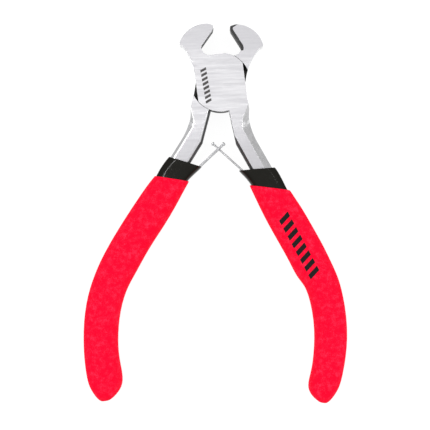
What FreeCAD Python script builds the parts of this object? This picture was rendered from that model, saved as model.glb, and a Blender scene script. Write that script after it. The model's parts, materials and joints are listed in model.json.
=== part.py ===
import FreeCAD, Part
import os
import re
import Sketcher

# Mini end-cutting pliers: two forged halves in a lap joint, each with a long tang in a
# black inner sleeve and a red outer grip, and two crossed leaf springs that open them.
#
# The tool lies flat: Z = 0 is the back face of the head, +Y runs to the jaws, and the
# pivot's axis is the Z axis.  Each side is drawn in its own half frame: handles closed,
# pivot at the origin, jaw at -X, arm and handle at +X, lap plane at Z = 0 and its own
# plate above that.  The rear side is the same drawing turned over about the Y axis.

DOC = FreeCAD.newDocument("end_cutting_pliers")
SHEET = DOC.addObject("Spreadsheet::Sheet", "dims")

# alias, value (millimetres or degrees), meaning
DIMENSIONS = (
    ("head_thickness", 9.0, "across both faces of the head"),
    ("open_angle", 17.2, "angle between the halves at rest"),
    ("lap_radius", 8.8, "round edges of each lap plate"),
    ("lap_clearance", 0.1, "plate edge to the other half's shoulder"),
    ("lap_gap", 0.04, "between the two lap faces"),
    ("side_flat", 1.5, "how far each flat side of the head cuts into the lap circle"),
    ("top_flat", 0.35, "how far the plate's upper edge cuts into the lap circle"),
    ("edge_gap", 0.01, "each cutting edge to the line where they meet"),
    ("edge_rise", 8.25, "lap circle to the top of the cutting edge"),
    ("edge_land", 0.45, "height of the ground land at the edge"),
    ("edge_bevel", 0.9, "height of the bevel below the land"),
    ("edge_back", 0.35, "set-back of the bevel"),
    ("crown_rise", 0.7, "cutting edge to the top of the jaw"),
    ("crown_start", 1.3, "where the ground crown starts, across"),
    ("jaw_overhang", 3.3, "jaw's outer corner beyond the head's side"),
    ("jaw_corner_drop", 3.75, "top of the cutting edge down to that corner"),
    ("jaw_bulge", 1.75, "rise of the jaw's crown above its chord"),
    ("throat_half", 4.35, "widest half opening behind the edges"),
    ("throat_rise", 1.8, "lap circle to that widest place"),
    ("neck_radius", 17.0, "hollow from the head's side up to the jaw"),
    ("neck_start", 3.2, "where that hollow starts, up"),
    ("arm_inner_top", 1.45, "arm's inner side at the lap shoulder"),
    ("arm_inner_waist", 2.3, "arm's inner side where it turns outward"),
    ("waist_drop", 10.0, "lap circle to where it turns outward"),
    ("arm_narrowing", 0.2, "arm's narrowest place inside the head's side"),
    ("shoulder_out", 0.2, "arm's shoulder beyond the head's side"),
    ("shoulder_drop", 0.2, "lap circle to the lower end of that shoulder"),
    ("arm_radius", 20.0, "outer side's turn from upright to the handle's lean"),
    ("taper_drop", 1.2, "lap circle to where the arm starts to thin"),
    ("arm_taper", 1.1, "how much the arm has thinned on each face at the handle's start"),
    ("bevel_width", 2.7, "bevel along the arm, on the plate's face"),
    ("bevel_depth", 1.9, "depth of that bevel at the arm's side"),
    ("back_bevel_width", 1.6, "bevel along the arm, on the other face"),
    ("bevel_start_lean", 27.0, "lean of the bevel's ridge as it leaves the shoulder"),
    ("handle_shift", 1.9, "start of the handle's middle line beyond the head's side"),
    ("handle_drop", 20.2, "lap circle to the start of the handle's middle line"),
    ("handle_lean", 22.5, "lean of its straight part"),
    ("handle_straight", 24.9, "length of its straight part"),
    ("handle_radius", 58.0, "radius of its bend"),
    ("handle_tail_lean", 17.0, "inward lean of its tail"),
    ("handle_tail", 9.4, "length of its tail, to the grip's end"),
    ("tang_inner", 2.6, "middle line to the tang's inner side"),
    ("tang_outer", 3.3, "middle line to the tang's outer side"),
    ("tang_end_lean", 8.0, "inward lean at which the tang ends"),
    ("sleeve_inner_wall", 1.85, "sleeve's wall on the tang's inner side"),
    ("sleeve_outer_wall", 1.15, "sleeve's wall on the tang's outer side"),
    ("sleeve_face_wall", 1.4, "sleeve's wall on the tang's faces"),
    ("sleeve_corner", 2.6, "corner radius of the inner sleeve"),
    ("sleeve_lip_wall", 0.35, "sleeve outside the leaf at its lip"),
    ("sleeve_mouth_wall", 0.45, "sleeve outside the arm at its mouth"),
    ("sleeve_mouth_left", 3.5, "mouth of the left sleeve above the handle's start"),
    ("sleeve_mouth_right", 2.0, "mouth of the right sleeve above the handle's start"),
    ("sleeve_narrowing", 2.8, "handle's start to where a sleeve has its full section"),
    ("sleeve_end", 4.4, "end of the sleeve, back from the grip's end"),
    ("grip_wall", 0.8, "grip over the sleeve"),
    ("grip_swell", 0.7, "extra width where the palm presses"),
    ("grip_corner", 3.6, "corner radius of the grip"),
    ("grip_mouth_left", 1.6, "handle's start to the upper end of the left grip"),
    ("grip_mouth_right", 4.0, "handle's start to the upper end of the right grip"),
    ("rivet_radius", 2.6, "shank of the pivot rivet"),
    ("rivet_sink", 0.9, "countersink at each end, wide and deep"),
    ("rivet_clearance", 0.03, "between the rivet and the rear half"),
    ("leaf_inset", 0.2, "each edge of a leaf spring inside the tang's face"),
    ("leaf_left_thickness", 0.7, "thickness of the slotted leaf"),
    ("leaf_right_thickness", 0.55, "thickness of the tongued leaf"),
    ("leaf_left_lean", 36.8, "lean of the slotted leaf"),
    ("leaf_right_lean", 40.4, "lean of the tongued leaf"),
    ("leaf_left_knee", 4.5, "its knee along the tang, from the handle's start"),
    ("leaf_right_knee", 1.7, "its knee along the tang, from the handle's start"),
    ("leaf_left_reach", 20.8, "knee to tip"),
    ("leaf_right_reach", 18.5, "knee to tip"),
    ("leaf_foot", 9.0, "length of each foot on the tang"),
    ("leaf_play", 0.06, "room round a leaf in its sleeve"),
    ("slot_play", 0.2, "room each side of the tongue in the left leaf's slot"),
    ("slot_length", 2.5, "slot along the left leaf"),
    ("slot_back", 2.4, "middle of the slot, back from the tip"),
    ("tongue_share", 0.45, "right leaf where it passes the slot, as a share of its width"),
    ("tongue_length", 3.4, "length of that narrow part"),
    ("tongue_head", 1.0, "length of the cross-bar at its tip"),
    ("tongue_head_share", 0.7, "width of the cross-bar, as a share of the leaf's"),
    ("pin_radius", 0.8, "shank of each spring rivet"),
    ("pin_head_radius", 1.5, "head of each spring rivet"),
    ("pin_head_height", 0.45, "height of that head"),
    ("pin_depth", 3.2, "depth of its hole in the tang"),
    ("pin_back", 5.0, "knee to the spring rivet, along the foot"),
)

for row, (alias, size, meaning) in enumerate(DIMENSIONS, start=1):
    SHEET.set(f"A{row}", meaning)
    SHEET.set(f"B{row}", str(size))
    SHEET.setAlias(f"B{row}", alias)
DOC.recompute()

ALIASES = {alias for alias, _, _ in DIMENSIONS}


def bound(formula):
    """Turn a formula on bare aliases into one that FreeCAD's expressions read."""
    def with_sheet(word):
        return "dims." + word[0] if word[0] in ALIASES else word[0]

    return re.sub(r"[a-z]\w*", with_sheet, str(formula))


def value(formula):
    """The number that a formula gives with the sheet's present sizes."""
    result = SHEET.evalExpression(bound(formula))
    return float(getattr(result, "Value", result))


# Sizes that follow from the sheet, as formulas on its aliases.
HEAD_HALF = "(lap_radius - side_flat)"
PLATE_TOP = "(lap_radius - top_flat)"
EDGE_TOP = "(lap_radius + edge_rise)"
CROWN_TOP = "(lap_radius + edge_rise + crown_rise)"
JAW_OUT = "(lap_radius - side_flat + jaw_overhang)"
JAW_CORNER = "(lap_radius + edge_rise - jaw_corner_drop)"
THROAT_UP = "(lap_radius + throat_rise)"
ARM_OUTER = "(lap_radius - side_flat - arm_narrowing)"
SHOULDER_DOWN = "(lap_radius + shoulder_drop)"
HANDLE_OUT = "(lap_radius - side_flat + handle_shift)"
HANDLE_DOWN = "(lap_radius + handle_drop)"
SLEEVE_INNER = "(tang_inner + sleeve_inner_wall)"
SLEEVE_OUTER = "(tang_outer + sleeve_outer_wall)"
ARM_END_THICKNESS = "(head_thickness - 2 * arm_taper)"
TANG_THICKNESS = "(head_thickness - 2 * (sleeve_face_wall + grip_wall))"
LEAF_WIDTH = f"({TANG_THICKNESS} - 2 * leaf_inset)"
TONGUE_WIDTH = f"({LEAF_WIDTH} * tongue_share)"
TONGUE_HEAD_WIDTH = f"({LEAF_WIDTH} * tongue_head_share)"
SLEEVE_THICKNESS = "(head_thickness - 2 * grip_wall)"


# ---------------------------------------------------------------- lines of the handle

LEAN = "handle_lean * 1 deg"
BEND_END = f"({HANDLE_OUT} + handle_straight * sin({LEAN}))"
BEND_X = f"({BEND_END} - handle_radius * cos({LEAN}))"
BEND_Y = f"(0 - {HANDLE_DOWN} - handle_straight * cos({LEAN}) - handle_radius * sin({LEAN}))"


def on_straight(along, offset):
    """A point beside the handle's straight part, offset outwards from its middle line."""
    x = f"({HANDLE_OUT} + ({along}) * sin({LEAN}) + ({offset}) * cos({LEAN}))"
    y = f"(0 - {HANDLE_DOWN} - ({along}) * cos({LEAN}) + ({offset}) * sin({LEAN}))"
    return x, y


def on_bend(lean, offset):
    """A point beside the handle's bend, where its middle line leans outwards by lean."""
    x = f"({BEND_X} + (handle_radius + ({offset})) * cos(({lean}) * 1 deg))"
    y = f"({BEND_Y} + (handle_radius + ({offset})) * sin(({lean}) * 1 deg))"
    return x, y


def on_tail(along):
    """A point on the middle line of the handle's tail."""
    x, y = on_bend("0 - handle_tail_lean", 0)
    tail = "handle_tail_lean * 1 deg"
    return f"({x} - ({along}) * sin({tail}))", f"({y} - ({along}) * cos({tail}))"


# ---------------------------------------------------------------- sketches

class Outline:
    """A closed outline of lines and three-point arcs, its coordinates formulas."""

    def __init__(self, x, y):
        self.points = [(x, y)]
        self.vias = []

    def line(self, x, y):
        self.points.append((x, y))
        self.vias.append(None)
        return self

    def arc(self, via, end):
        self.points.append(end)
        self.vias.append(via)
        return self

    def close(self):
        self.vias.append(None)
        return self


def origin_plane(body, role):
    return next(item for item in body.Origin.OriginFeatures if item.Role == role)


def place_point(sketch, geometry, end, x, y):
    """Hold one point of the sketch at formulas x and y."""
    for kind, formula in (("DistanceX", x), ("DistanceY", y)):
        number = sketch.addConstraint(Sketcher.Constraint(kind, -1, 1, geometry, end, value(formula)))
        sketch.setExpression(f"Constraints[{number}]", bound(formula))


def new_sketch(body, name, role="XY_Plane", shift=None):
    """A sketch on one of the body's own planes, shifted by formulas."""
    sketch = body.newObject("Sketcher::SketchObject", f"{body.Name}_{name}")
    sketch.AttachmentSupport = (origin_plane(body, role), [""])
    sketch.MapMode = "FlatFace"
    for axis, formula in (shift or {}).items():
        sketch.setExpression(f"AttachmentOffset.Base.{axis}", bound(formula))
    return sketch


def draw(sketch, outline, closed=True):
    """Draw an outline in a sketch, every corner held by formulas on the sheet."""
    corners = outline.points
    places = [FreeCAD.Vector(value(x), value(y), 0) for x, y in corners]
    count = len(corners)
    legs = []
    for index, via in enumerate(outline.vias):
        start, end = places[index], places[(index + 1) % count]
        if via is None:
            geometry = sketch.addGeometry(Part.LineSegment(start, end))
            legs.append((geometry, 1, 2))
            continue
        middle = FreeCAD.Vector(value(via[0]), value(via[1]), 0)
        geometry = sketch.addGeometry(Part.Arc(start, middle, end))
        forward = sketch.getPoint(geometry, 1).distanceToPoint(start) < 1e-6
        legs.append((geometry, 1, 2) if forward else (geometry, 2, 1))
    for index, (geometry, first, last) in enumerate(legs):
        place_point(sketch, geometry, first, *corners[index])
        if index + 1 < len(legs) or closed:
            following, its_first, _ = legs[(index + 1) % len(legs)]
            sketch.addConstraint(Sketcher.Constraint("Coincident", geometry, last, following, its_first))
    if not closed:
        place_point(sketch, legs[-1][0], legs[-1][2], *corners[-1])
    for index, via in enumerate(outline.vias):
        if via is None:
            continue
        point = sketch.addGeometry(Part.Point(FreeCAD.Vector(value(via[0]), value(via[1]), 0)), True)
        place_point(sketch, point, 1, *via)
        sketch.addConstraint(Sketcher.Constraint("PointOnObject", point, 1, legs[index][0]))
    return sketch


def circle(sketch, radius, x="0", y="0"):
    centre = FreeCAD.Vector(value(x), value(y), 0)
    geometry = sketch.addGeometry(Part.Circle(centre, FreeCAD.Vector(0, 0, 1), value(radius)))
    place_point(sketch, geometry, 3, x, y)
    number = sketch.addConstraint(Sketcher.Constraint("Radius", geometry, value(radius)))
    sketch.setExpression(f"Constraints[{number}]", bound(radius))
    return sketch


def rounded_box(middle, half_width, half_height, corner):
    """Outline of a rounded rectangle round (middle, 0)."""
    knee = "(1 - sqrt(0.5))"
    left, right = f"({middle} - ({half_width}))", f"({middle} + ({half_width}))"
    low, high = f"(0 - ({half_height}))", f"({half_height})"
    outline = Outline(f"{left} + {corner}", low)
    outline.line(f"{right} - {corner}", low)
    outline.arc((f"{right} - {corner} * {knee}", f"{low} + {corner} * {knee}"),
                (right, f"{low} + {corner}"))
    outline.line(right, f"{high} - {corner}")
    outline.arc((f"{right} - {corner} * {knee}", f"{high} - {corner} * {knee}"),
                (f"{right} - {corner}", high))
    outline.line(f"{left} + {corner}", high)
    outline.arc((f"{left} + {corner} * {knee}", f"{high} - {corner} * {knee}"),
                (left, f"{high} - {corner}"))
    outline.line(left, f"{low} + {corner}")
    outline.arc((f"{left} + {corner} * {knee}", f"{low} + {corner} * {knee}"), (f"{left} + {corner}", low))
    outline.points.pop()
    return outline


# ---------------------------------------------------------------- bodies and features

class Side:
    """One side of the tool: its name, its own dimensions and where its half frame lies."""

    def __init__(self, name, half_name, flipped):
        self.name = name
        self.half_name = half_name
        self.flipped = flipped

    def size(self, stem):
        """The alias of a dimension that each side has for itself."""
        return stem.format(self.name)

    def pin_point(self, offset):
        """Where the spring rivet's axis is, offset from the handle's middle line."""
        return on_straight(f"{self.size('leaf_{}_knee')} + pin_back", offset)

    def placement(self):
        half = value("open_angle / 2")
        lift = FreeCAD.Vector(0, 0, value("head_thickness / 2"))
        if not self.flipped:
            return FreeCAD.Placement(lift, FreeCAD.Rotation(FreeCAD.Vector(0, 0, 1), half))
        turned_over = FreeCAD.Rotation(FreeCAD.Vector(0, 1, 0), 180)
        return FreeCAD.Placement(lift, FreeCAD.Rotation(FreeCAD.Vector(0, 0, 1), -half) * turned_over)


RIGHT = Side("right", "front_half", False)
LEFT = Side("left", "rear_half", True)


def new_body(label, side=None):
    body = DOC.addObject("PartDesign::Body", label)
    body.Label = label
    if side is not None:
        body.Placement = side.placement()
    return body


def pad(body, sketch, length):
    feature = body.newObject("PartDesign::Pad", f"{sketch.Name}_pad")
    feature.Profile = sketch
    feature.setExpression("Length", bound(length))
    feature.Midplane = True
    return feature


def pocket(body, sketch, length, midplane=True):
    feature = body.newObject("PartDesign::Pocket", f"{sketch.Name}_pocket")
    feature.Profile = sketch
    feature.Length = value(length)
    feature.setExpression("Length", bound(length))
    feature.Midplane = midplane
    return feature


def loft(body, name, sections):
    feature = body.newObject("PartDesign::AdditiveLoft", f"{body.Name}_{name}")
    feature.Profile = sections[0]
    feature.Sections = sections[1:]
    feature.Ruled = True
    return feature


def revolve(body, sketch, axis):
    feature = body.newObject("PartDesign::Revolution", f"{sketch.Name}_turned")
    feature.Profile = sketch
    feature.ReferenceAxis = (sketch, [axis])
    feature.Angle = 360
    return feature


# ---------------------------------------------------------------- forged halves

SIDE_FLAT_END = f"sqrt(lap_radius ^ 2 - {HEAD_HALF} ^ 2)"
PLATE_TOP_END = f"sqrt(lap_radius ^ 2 - {PLATE_TOP} ^ 2)"
ARM_START_DOWN = "sqrt(lap_radius ^ 2 - arm_inner_top ^ 2)"


def neck_side(up):
    """Where the hollow below the jaw is at a height: an arc that starts upright."""
    return f"(sqrt(neck_radius ^ 2 - ({up} - neck_start) ^ 2) - {HEAD_HALF} - neck_radius)"


def jaw_and_plate():
    """The half's outline from the cutting edge round the jaw to the lap plate's lower arc."""
    neck_top = f"({JAW_CORNER} - 0.9)"
    neck_mid = f"(({neck_top} + neck_start) / 2)"
    crown_mid = (f"0 - (crown_start + {JAW_OUT}) / 2 - jaw_bulge * 0.43",
                 f"({CROWN_TOP} + {JAW_CORNER}) / 2 + jaw_bulge * 0.9")
    outline = Outline("0 - edge_gap", EDGE_TOP)
    outline.line("0 - crown_start", CROWN_TOP)
    outline.arc(crown_mid, (f"0 - {JAW_OUT}", JAW_CORNER))
    outline.arc((f"0 - {JAW_OUT} - 0.1", f"{JAW_CORNER} - 0.45"), (neck_side(neck_top), neck_top))
    outline.arc((neck_side(neck_mid), neck_mid), (f"0 - {HEAD_HALF}", "neck_start"))
    outline.line(f"0 - {HEAD_HALF}", f"0 - {SIDE_FLAT_END}")
    low_left = ("lap_radius * cos(235 deg)", "lap_radius * sin(235 deg)")
    outline.arc(low_left, ("arm_inner_top", f"0 - {ARM_START_DOWN}"))
    return outline


def half_outline():
    """The whole face of a half: jaw, plate, arm and tang."""
    outline = jaw_and_plate()
    outline.line("arm_inner_waist", "0 - lap_radius - waist_drop")
    outline.line(*on_straight(0, "0 - tang_inner"))
    outline.line(*on_straight("handle_straight", "0 - tang_inner"))
    outline.arc(on_bend(0, "0 - tang_inner"), on_bend("0 - tang_end_lean", "0 - tang_inner"))
    outline.arc(on_bend("0 - tang_end_lean - 2.5", 0), on_bend("0 - tang_end_lean", "tang_outer"))
    outline.arc(on_bend(0, "tang_outer"), on_straight("handle_straight", "tang_outer"))
    outline.line(*on_straight(0, "tang_outer"))
    start_x, start_y = on_straight(0, "tang_outer")
    corner_y = f"({start_y} + ({start_x} - {ARM_OUTER}) / tan({LEAN}))"
    reach = "(arm_radius * tan(handle_lean * 0.5 deg))"
    outline.line(f"{ARM_OUTER} + {reach} * sin({LEAN})", f"{corner_y} - {reach} * cos({LEAN})")
    middle = (f"{ARM_OUTER} + arm_radius * (1 - cos(handle_lean * 0.5 deg))",
              f"{corner_y} + {reach} - arm_radius * sin(handle_lean * 0.5 deg)")
    outline.arc(middle, (ARM_OUTER, f"{corner_y} + {reach}"))
    outline.line(f"{HEAD_HALF} + shoulder_out", f"0 - {SHOULDER_DOWN}")
    outline.line(HEAD_HALF, f"0 - {SIDE_FLAT_END}")
    outline.line(HEAD_HALF, SIDE_FLAT_END)
    outline.arc(("lap_radius * cos(54 deg)", "lap_radius * sin(54 deg)"), (PLATE_TOP_END, PLATE_TOP))
    outline.line("0 - throat_half + 2.3", PLATE_TOP)
    outline.arc(("0 - throat_half + 0.75", f"{PLATE_TOP} + 0.65"), ("0 - throat_half", THROAT_UP))
    outline.arc(("0 - throat_half + 0.02", f"{THROAT_UP} + 0.55"),
                ("0 - throat_half + 0.25", f"{THROAT_UP} + 1"))
    outline.line("0 - edge_back", f"{EDGE_TOP} - edge_land - edge_bevel")
    outline.line("0 - edge_gap", f"{EDGE_TOP} - edge_land")
    return outline.close()


def taper_outline(sign):
    """What is cut from one face, in (y, z), to thin the arm and then the tang."""
    up = "" if sign > 0 else "0 - "
    face = "head_thickness / 2"
    beyond = f"{BEND_Y} - handle_radius"
    outline = Outline("0 - lap_radius - taper_drop", f"{up}({face})")
    outline.line(f"1 - {HANDLE_DOWN}", f"{up}({ARM_END_THICKNESS} / 2)")
    outline.line(f"0 - {HANDLE_DOWN} - 3", f"{up}({TANG_THICKNESS} / 2)")
    outline.line(beyond, f"{up}({TANG_THICKNESS} / 2)")
    outline.line(beyond, f"{up}({face} + 1)")
    outline.line("0 - lap_radius - taper_drop", f"{up}({face} + 1)")
    return outline.close()


def bore(body, name, radius, sink):
    """The rivet's hole through the plate, countersunk on the plate's outer face."""
    sketch = new_sketch(body, name, role="XZ_Plane")
    face = "head_thickness / 2"
    outline = Outline("0", "0 - 1").line(radius, "0 - 1").line(radius, f"{face} - rivet_sink")
    outline.line(f"{radius} + {sink}", face).line("0", face).close()
    draw(sketch, outline)
    feature = body.newObject("PartDesign::Groove", f"{sketch.Name}_groove")
    feature.Profile = sketch
    feature.ReferenceAxis = (sketch, ["V_Axis"])
    feature.Angle = 360
    return feature


def arm_bevel(body, name, width, sign):
    """Cut a long bevel on the arm's outer side, which grows from nothing at the shoulder."""
    upper, lower = "bevel_start_lean * 1 deg", "handle_lean * 0.78 deg"
    turn = "(bevel_start_lean + handle_lean * 0.78)"
    drop = f"(bevel_depth * ({width}) / bevel_width)"
    waist_x, waist_y = f"({ARM_OUTER} - ({width}) - 0.3)", f"(0 - {SHOULDER_DOWN} - 4.6)"
    fall = f"({HANDLE_DOWN} - {SHOULDER_DOWN})"
    start = (f"{waist_x} + 7 * sin({upper})", f"{waist_y} + 7 * cos({upper})")
    near = (f"{waist_x} + 2 * sin({upper})", f"{waist_y} + 2 * cos({upper})")
    after = (f"{waist_x} + 2 * sin({lower})", f"{waist_y} - 2 * cos({lower})")
    end = (f"{waist_x} + {fall} * sin({lower})", f"{waist_y} - {fall} * cos({lower})")
    bow = f"(2 * tan({turn} * 0.25 deg))"
    aside = "((bevel_start_lean - handle_lean * 0.78) * 0.5 deg)"
    middle = (f"{waist_x} + {bow} * cos({aside})", f"{waist_y} - {bow} * sin({aside})")
    up = "" if sign > 0 else "0 - "
    path = new_sketch(body, f"{name}_path", shift={"z": f"{up}head_thickness / 2"})
    draw(path, Outline(*start).line(*near).arc(middle, after).line(*end), closed=False)
    section = new_sketch(body, f"{name}_section", role="XZ_Plane", shift={"z": f"0 - ({start[1]})"})
    high = f"{up}(head_thickness / 2 + {drop} * 0.5)"
    wedge = Outline(f"{start[0]} - {width} * 0.5", high)
    wedge.line(f"{start[0]} + {width} * 2", f"{up}(head_thickness / 2 - {drop} * 2)")
    wedge.line(f"{start[0]} + {width} * 2", high)
    draw(section, wedge.close())
    pipe = body.newObject("PartDesign::SubtractivePipe", f"{body.Name}_{name}")
    pipe.Profile = section
    pipe.Spine = path
    return pipe


def across(lean):
    """The turn that points a cylinder outwards, square to a line that leans by lean."""
    outwards = FreeCAD.Rotation(FreeCAD.Vector(0, 1, 0), 90)
    return FreeCAD.Rotation(FreeCAD.Vector(0, 0, 1), value(lean)) * outwards


def round_hole(body, name, centre, radius, depth, lean):
    """Cut a round hole from centre outwards, square to a line that leans by lean."""
    hole = body.newObject("PartDesign::SubtractiveCylinder", f"{body.Name}_{name}")
    hole.setExpression("Radius", bound(radius))
    hole.setExpression("Height", bound(depth))
    hole.Placement = FreeCAD.Placement(FreeCAD.Vector(), across(lean))
    hole.setExpression("Placement.Base.x", bound(centre[0]))
    hole.setExpression("Placement.Base.y", bound(centre[1]))
    return hole


def make_half(side):
    body = new_body(side.half_name, side)
    pad(body, draw(new_sketch(body, "face"), half_outline()), "head_thickness")
    recess = circle(new_sketch(body, "recess", shift={"z": "lap_gap / 2"}), "lap_radius + lap_clearance")
    pocket(body, recess, "head_thickness", midplane=False)
    whole_width = f"2 * ({BEND_X} + handle_radius + tang_outer + 1)"
    for sign, name in ((1, "face_taper"), (-1, "back_taper")):
        pocket(body, draw(new_sketch(body, name, role="YZ_Plane"), taper_outline(sign)), whole_width)
    slack = "0" if side is RIGHT else "rivet_clearance"
    bore(body, "bore", f"rivet_radius + {slack}", "rivet_sink")
    arm_bevel(body, "bevel", "bevel_width", 1)
    arm_bevel(body, "back_bevel", "back_bevel_width", -1)
    round_hole(body, "pin_hole", side.pin_point("0 - tang_inner"), "pin_radius", "pin_depth", "handle_lean")
    return body


def make_pivot_rivet():
    """A rivet headed over into both countersinks and ground flush with the head."""
    body = new_body("pivot_rivet")
    lift = FreeCAD.Vector(0, 0, value("head_thickness / 2"))
    body.Placement = FreeCAD.Placement(lift, FreeCAD.Rotation())
    face = "head_thickness / 2"
    profile = Outline("0", f"0 - {face}").line("rivet_radius + rivet_sink", f"0 - {face}")
    profile.line("rivet_radius", f"rivet_sink - {face}").line("rivet_radius", f"{face} - rivet_sink")
    profile.line("rivet_radius + rivet_sink", face).line("0", face)
    revolve(body, draw(new_sketch(body, "profile", role="XZ_Plane"), profile.close()), "V_Axis")


# ---------------------------------------------------------------- springs

def leaf_outline(side, play="0"):
    """Edge view of a leaf: its foot along the tang, its knee and its straight free end."""
    thickness, lean = side.size("leaf_{}_thickness"), side.size("leaf_{}_lean")
    knee, reach = side.size("leaf_{}_knee"), side.size("leaf_{}_reach")
    near, far = f"({play} - tang_inner)", f"(0 - tang_inner - {thickness} - {play})"
    outer_x, outer_y = on_straight(knee, near)
    full = f"({thickness} + 2 * {play})"
    half_way = f"(({lean} + handle_lean) * 0.5 deg)"
    mitre = f"({full} / cos(({lean} - handle_lean) * 0.5 deg))"
    tip_x = f"({outer_x} - ({reach} + {play}) * sin({lean} * 1 deg))"
    tip_y = f"({outer_y} + ({reach} + {play}) * cos({lean} * 1 deg))"
    outline = Outline(outer_x, outer_y).line(tip_x, tip_y)
    outline.line(f"{tip_x} - {full} * cos({lean} * 1 deg)", f"{tip_y} - {full} * sin({lean} * 1 deg)")
    outline.line(f"{outer_x} - {mitre} * cos{half_way}", f"{outer_y} - {mitre} * sin{half_way}")
    outline.line(*on_straight(f"{knee} + leaf_foot + {play}", far))
    outline.line(*on_straight(f"{knee} + leaf_foot + {play}", near))
    return outline.close()


def leaf_box(body, side, name, back, length, low, height):
    """Cut a box through the leaf's thickness, its upper end back from the tip."""
    thickness, lean = side.size("leaf_{}_thickness"), f'({side.size("leaf_{}_lean")})'
    outer_x, outer_y = on_straight(side.size("leaf_{}_knee"), "0 - tang_inner")
    reach = f'({side.size("leaf_{}_reach")} - ({back}) - ({length}))'
    box = body.newObject("PartDesign::SubtractiveBox", f"{body.Name}_{name}")
    box.setExpression("Length", bound(f"{thickness} * 3"))
    box.setExpression("Width", bound(length))
    box.setExpression("Height", bound(height))
    turned = FreeCAD.Rotation(FreeCAD.Vector(0, 0, 1), value(lean))
    box.Placement = FreeCAD.Placement(FreeCAD.Vector(), turned)
    base_x = f"{outer_x} - {reach} * sin({lean} * 1 deg) - {thickness} * 2 * cos({lean} * 1 deg)"
    base_y = f"{outer_y} + {reach} * cos({lean} * 1 deg) - {thickness} * 2 * sin({lean} * 1 deg)"
    box.setExpression("Placement.Base.x", bound(base_x))
    box.setExpression("Placement.Base.y", bound(base_y))
    box.setExpression("Placement.Base.z", bound(low))
    box.setExpression("Placement.Rotation.Angle", bound(f"{lean} * 1 deg"))


def make_leaf(side):
    body = new_body(f"spring_{side.name}", side)
    pad(body, draw(new_sketch(body, "edge"), leaf_outline(side)), LEAF_WIDTH)
    thickness = side.size("leaf_{}_thickness")
    foot_hole = side.pin_point(f"0 - tang_inner - {thickness} * 1.5")
    round_hole(body, "foot_hole", foot_hole, "pin_radius + leaf_play", f"{thickness} * 2", "handle_lean")
    if side is LEFT:
        leaf_box(body, side, "slot", "slot_back - slot_length / 2", "slot_length",
                 f"0 - {TONGUE_WIDTH} / 2 - slot_play", f"{TONGUE_WIDTH} + 2 * slot_play")
        return
    beyond = f"({LEAF_WIDTH} / 2 + 1)"
    for start, length, width, name in (
        ("tongue_head", "tongue_length", TONGUE_WIDTH, "notch"),
        ("0 - 1", "tongue_head + 1", TONGUE_HEAD_WIDTH, "corner"),
    ):
        height = f"{beyond} - {width} / 2"
        leaf_box(body, side, f"front_{name}", start, length, f"{width} / 2", height)
        leaf_box(body, side, f"back_{name}", start, length, f"0 - {beyond}", height)


def make_spring_pin(side):
    """The small rivet that holds a leaf's foot against the tang."""
    body = DOC.addObject("PartDesign::Body", f"spring_rivet_{side.name}")
    thickness = side.size("leaf_{}_thickness")
    x, y = side.pin_point(f"0 - tang_inner - {thickness}")
    lean = FreeCAD.Rotation(FreeCAD.Vector(0, 0, 1), value("handle_lean"))
    body.Placement = side.placement() * FreeCAD.Placement(FreeCAD.Vector(value(x), value(y), 0), lean)
    profile = Outline("0 - pin_head_height", "0").line("0 - pin_head_height", "pin_head_radius")
    profile.line("0", "pin_head_radius").line("0", "pin_radius")
    profile.line(f"{thickness} + pin_depth", "pin_radius").line(f"{thickness} + pin_depth", "0")
    revolve(body, draw(new_sketch(body, "profile"), profile.close()), "H_Axis")


# ---------------------------------------------------------------- sleeves and grips

def station(body, number, middle, down, half_width, half_height, corner):
    """A rounded-box section of a handle, level across it at a distance below the pivot."""
    section = new_sketch(body, f"section_{number}", role="XZ_Plane", shift={"z": down})
    return draw(section, rounded_box(middle, half_width, half_height, corner))


def handle_station(body, number, x, down, lean, wall="0", swell="0", share="1"):
    """A section round the sleeve, or round the grip when it has a wall over the sleeve."""
    level = f"cos(({lean}) * 1 deg)"
    outside, inside = f"({SLEEVE_OUTER} + {wall} + {swell} / 2)", f"({SLEEVE_INNER} + {wall} + {swell} / 2)"
    corner = "sleeve_corner" if wall == "0" else "grip_corner"
    return station(body, number, f"({x} + ({outside} - {inside}) / 2 / {level})", down,
                   f"({outside} + {inside}) * {share} / 2 / {level}",
                   f"({SLEEVE_THICKNESS} / 2 + {wall}) * {share}", f"({corner} * {share})")


def path_stations():
    """Places along the handle's middle line: (x, y, lean in degrees), all formulas."""
    places = [(*on_straight("handle_straight * 0.5", 0), "handle_lean"),
              (*on_straight("handle_straight", 0), "handle_lean")]
    for lean in ("handle_lean * 0.6", "handle_lean * 0.2", "0 - handle_tail_lean * 0.35",
                 "0 - handle_tail_lean * 0.7", "0 - handle_tail_lean"):
        places.append((*on_bend(lean, 0), lean))
    return places


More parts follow.
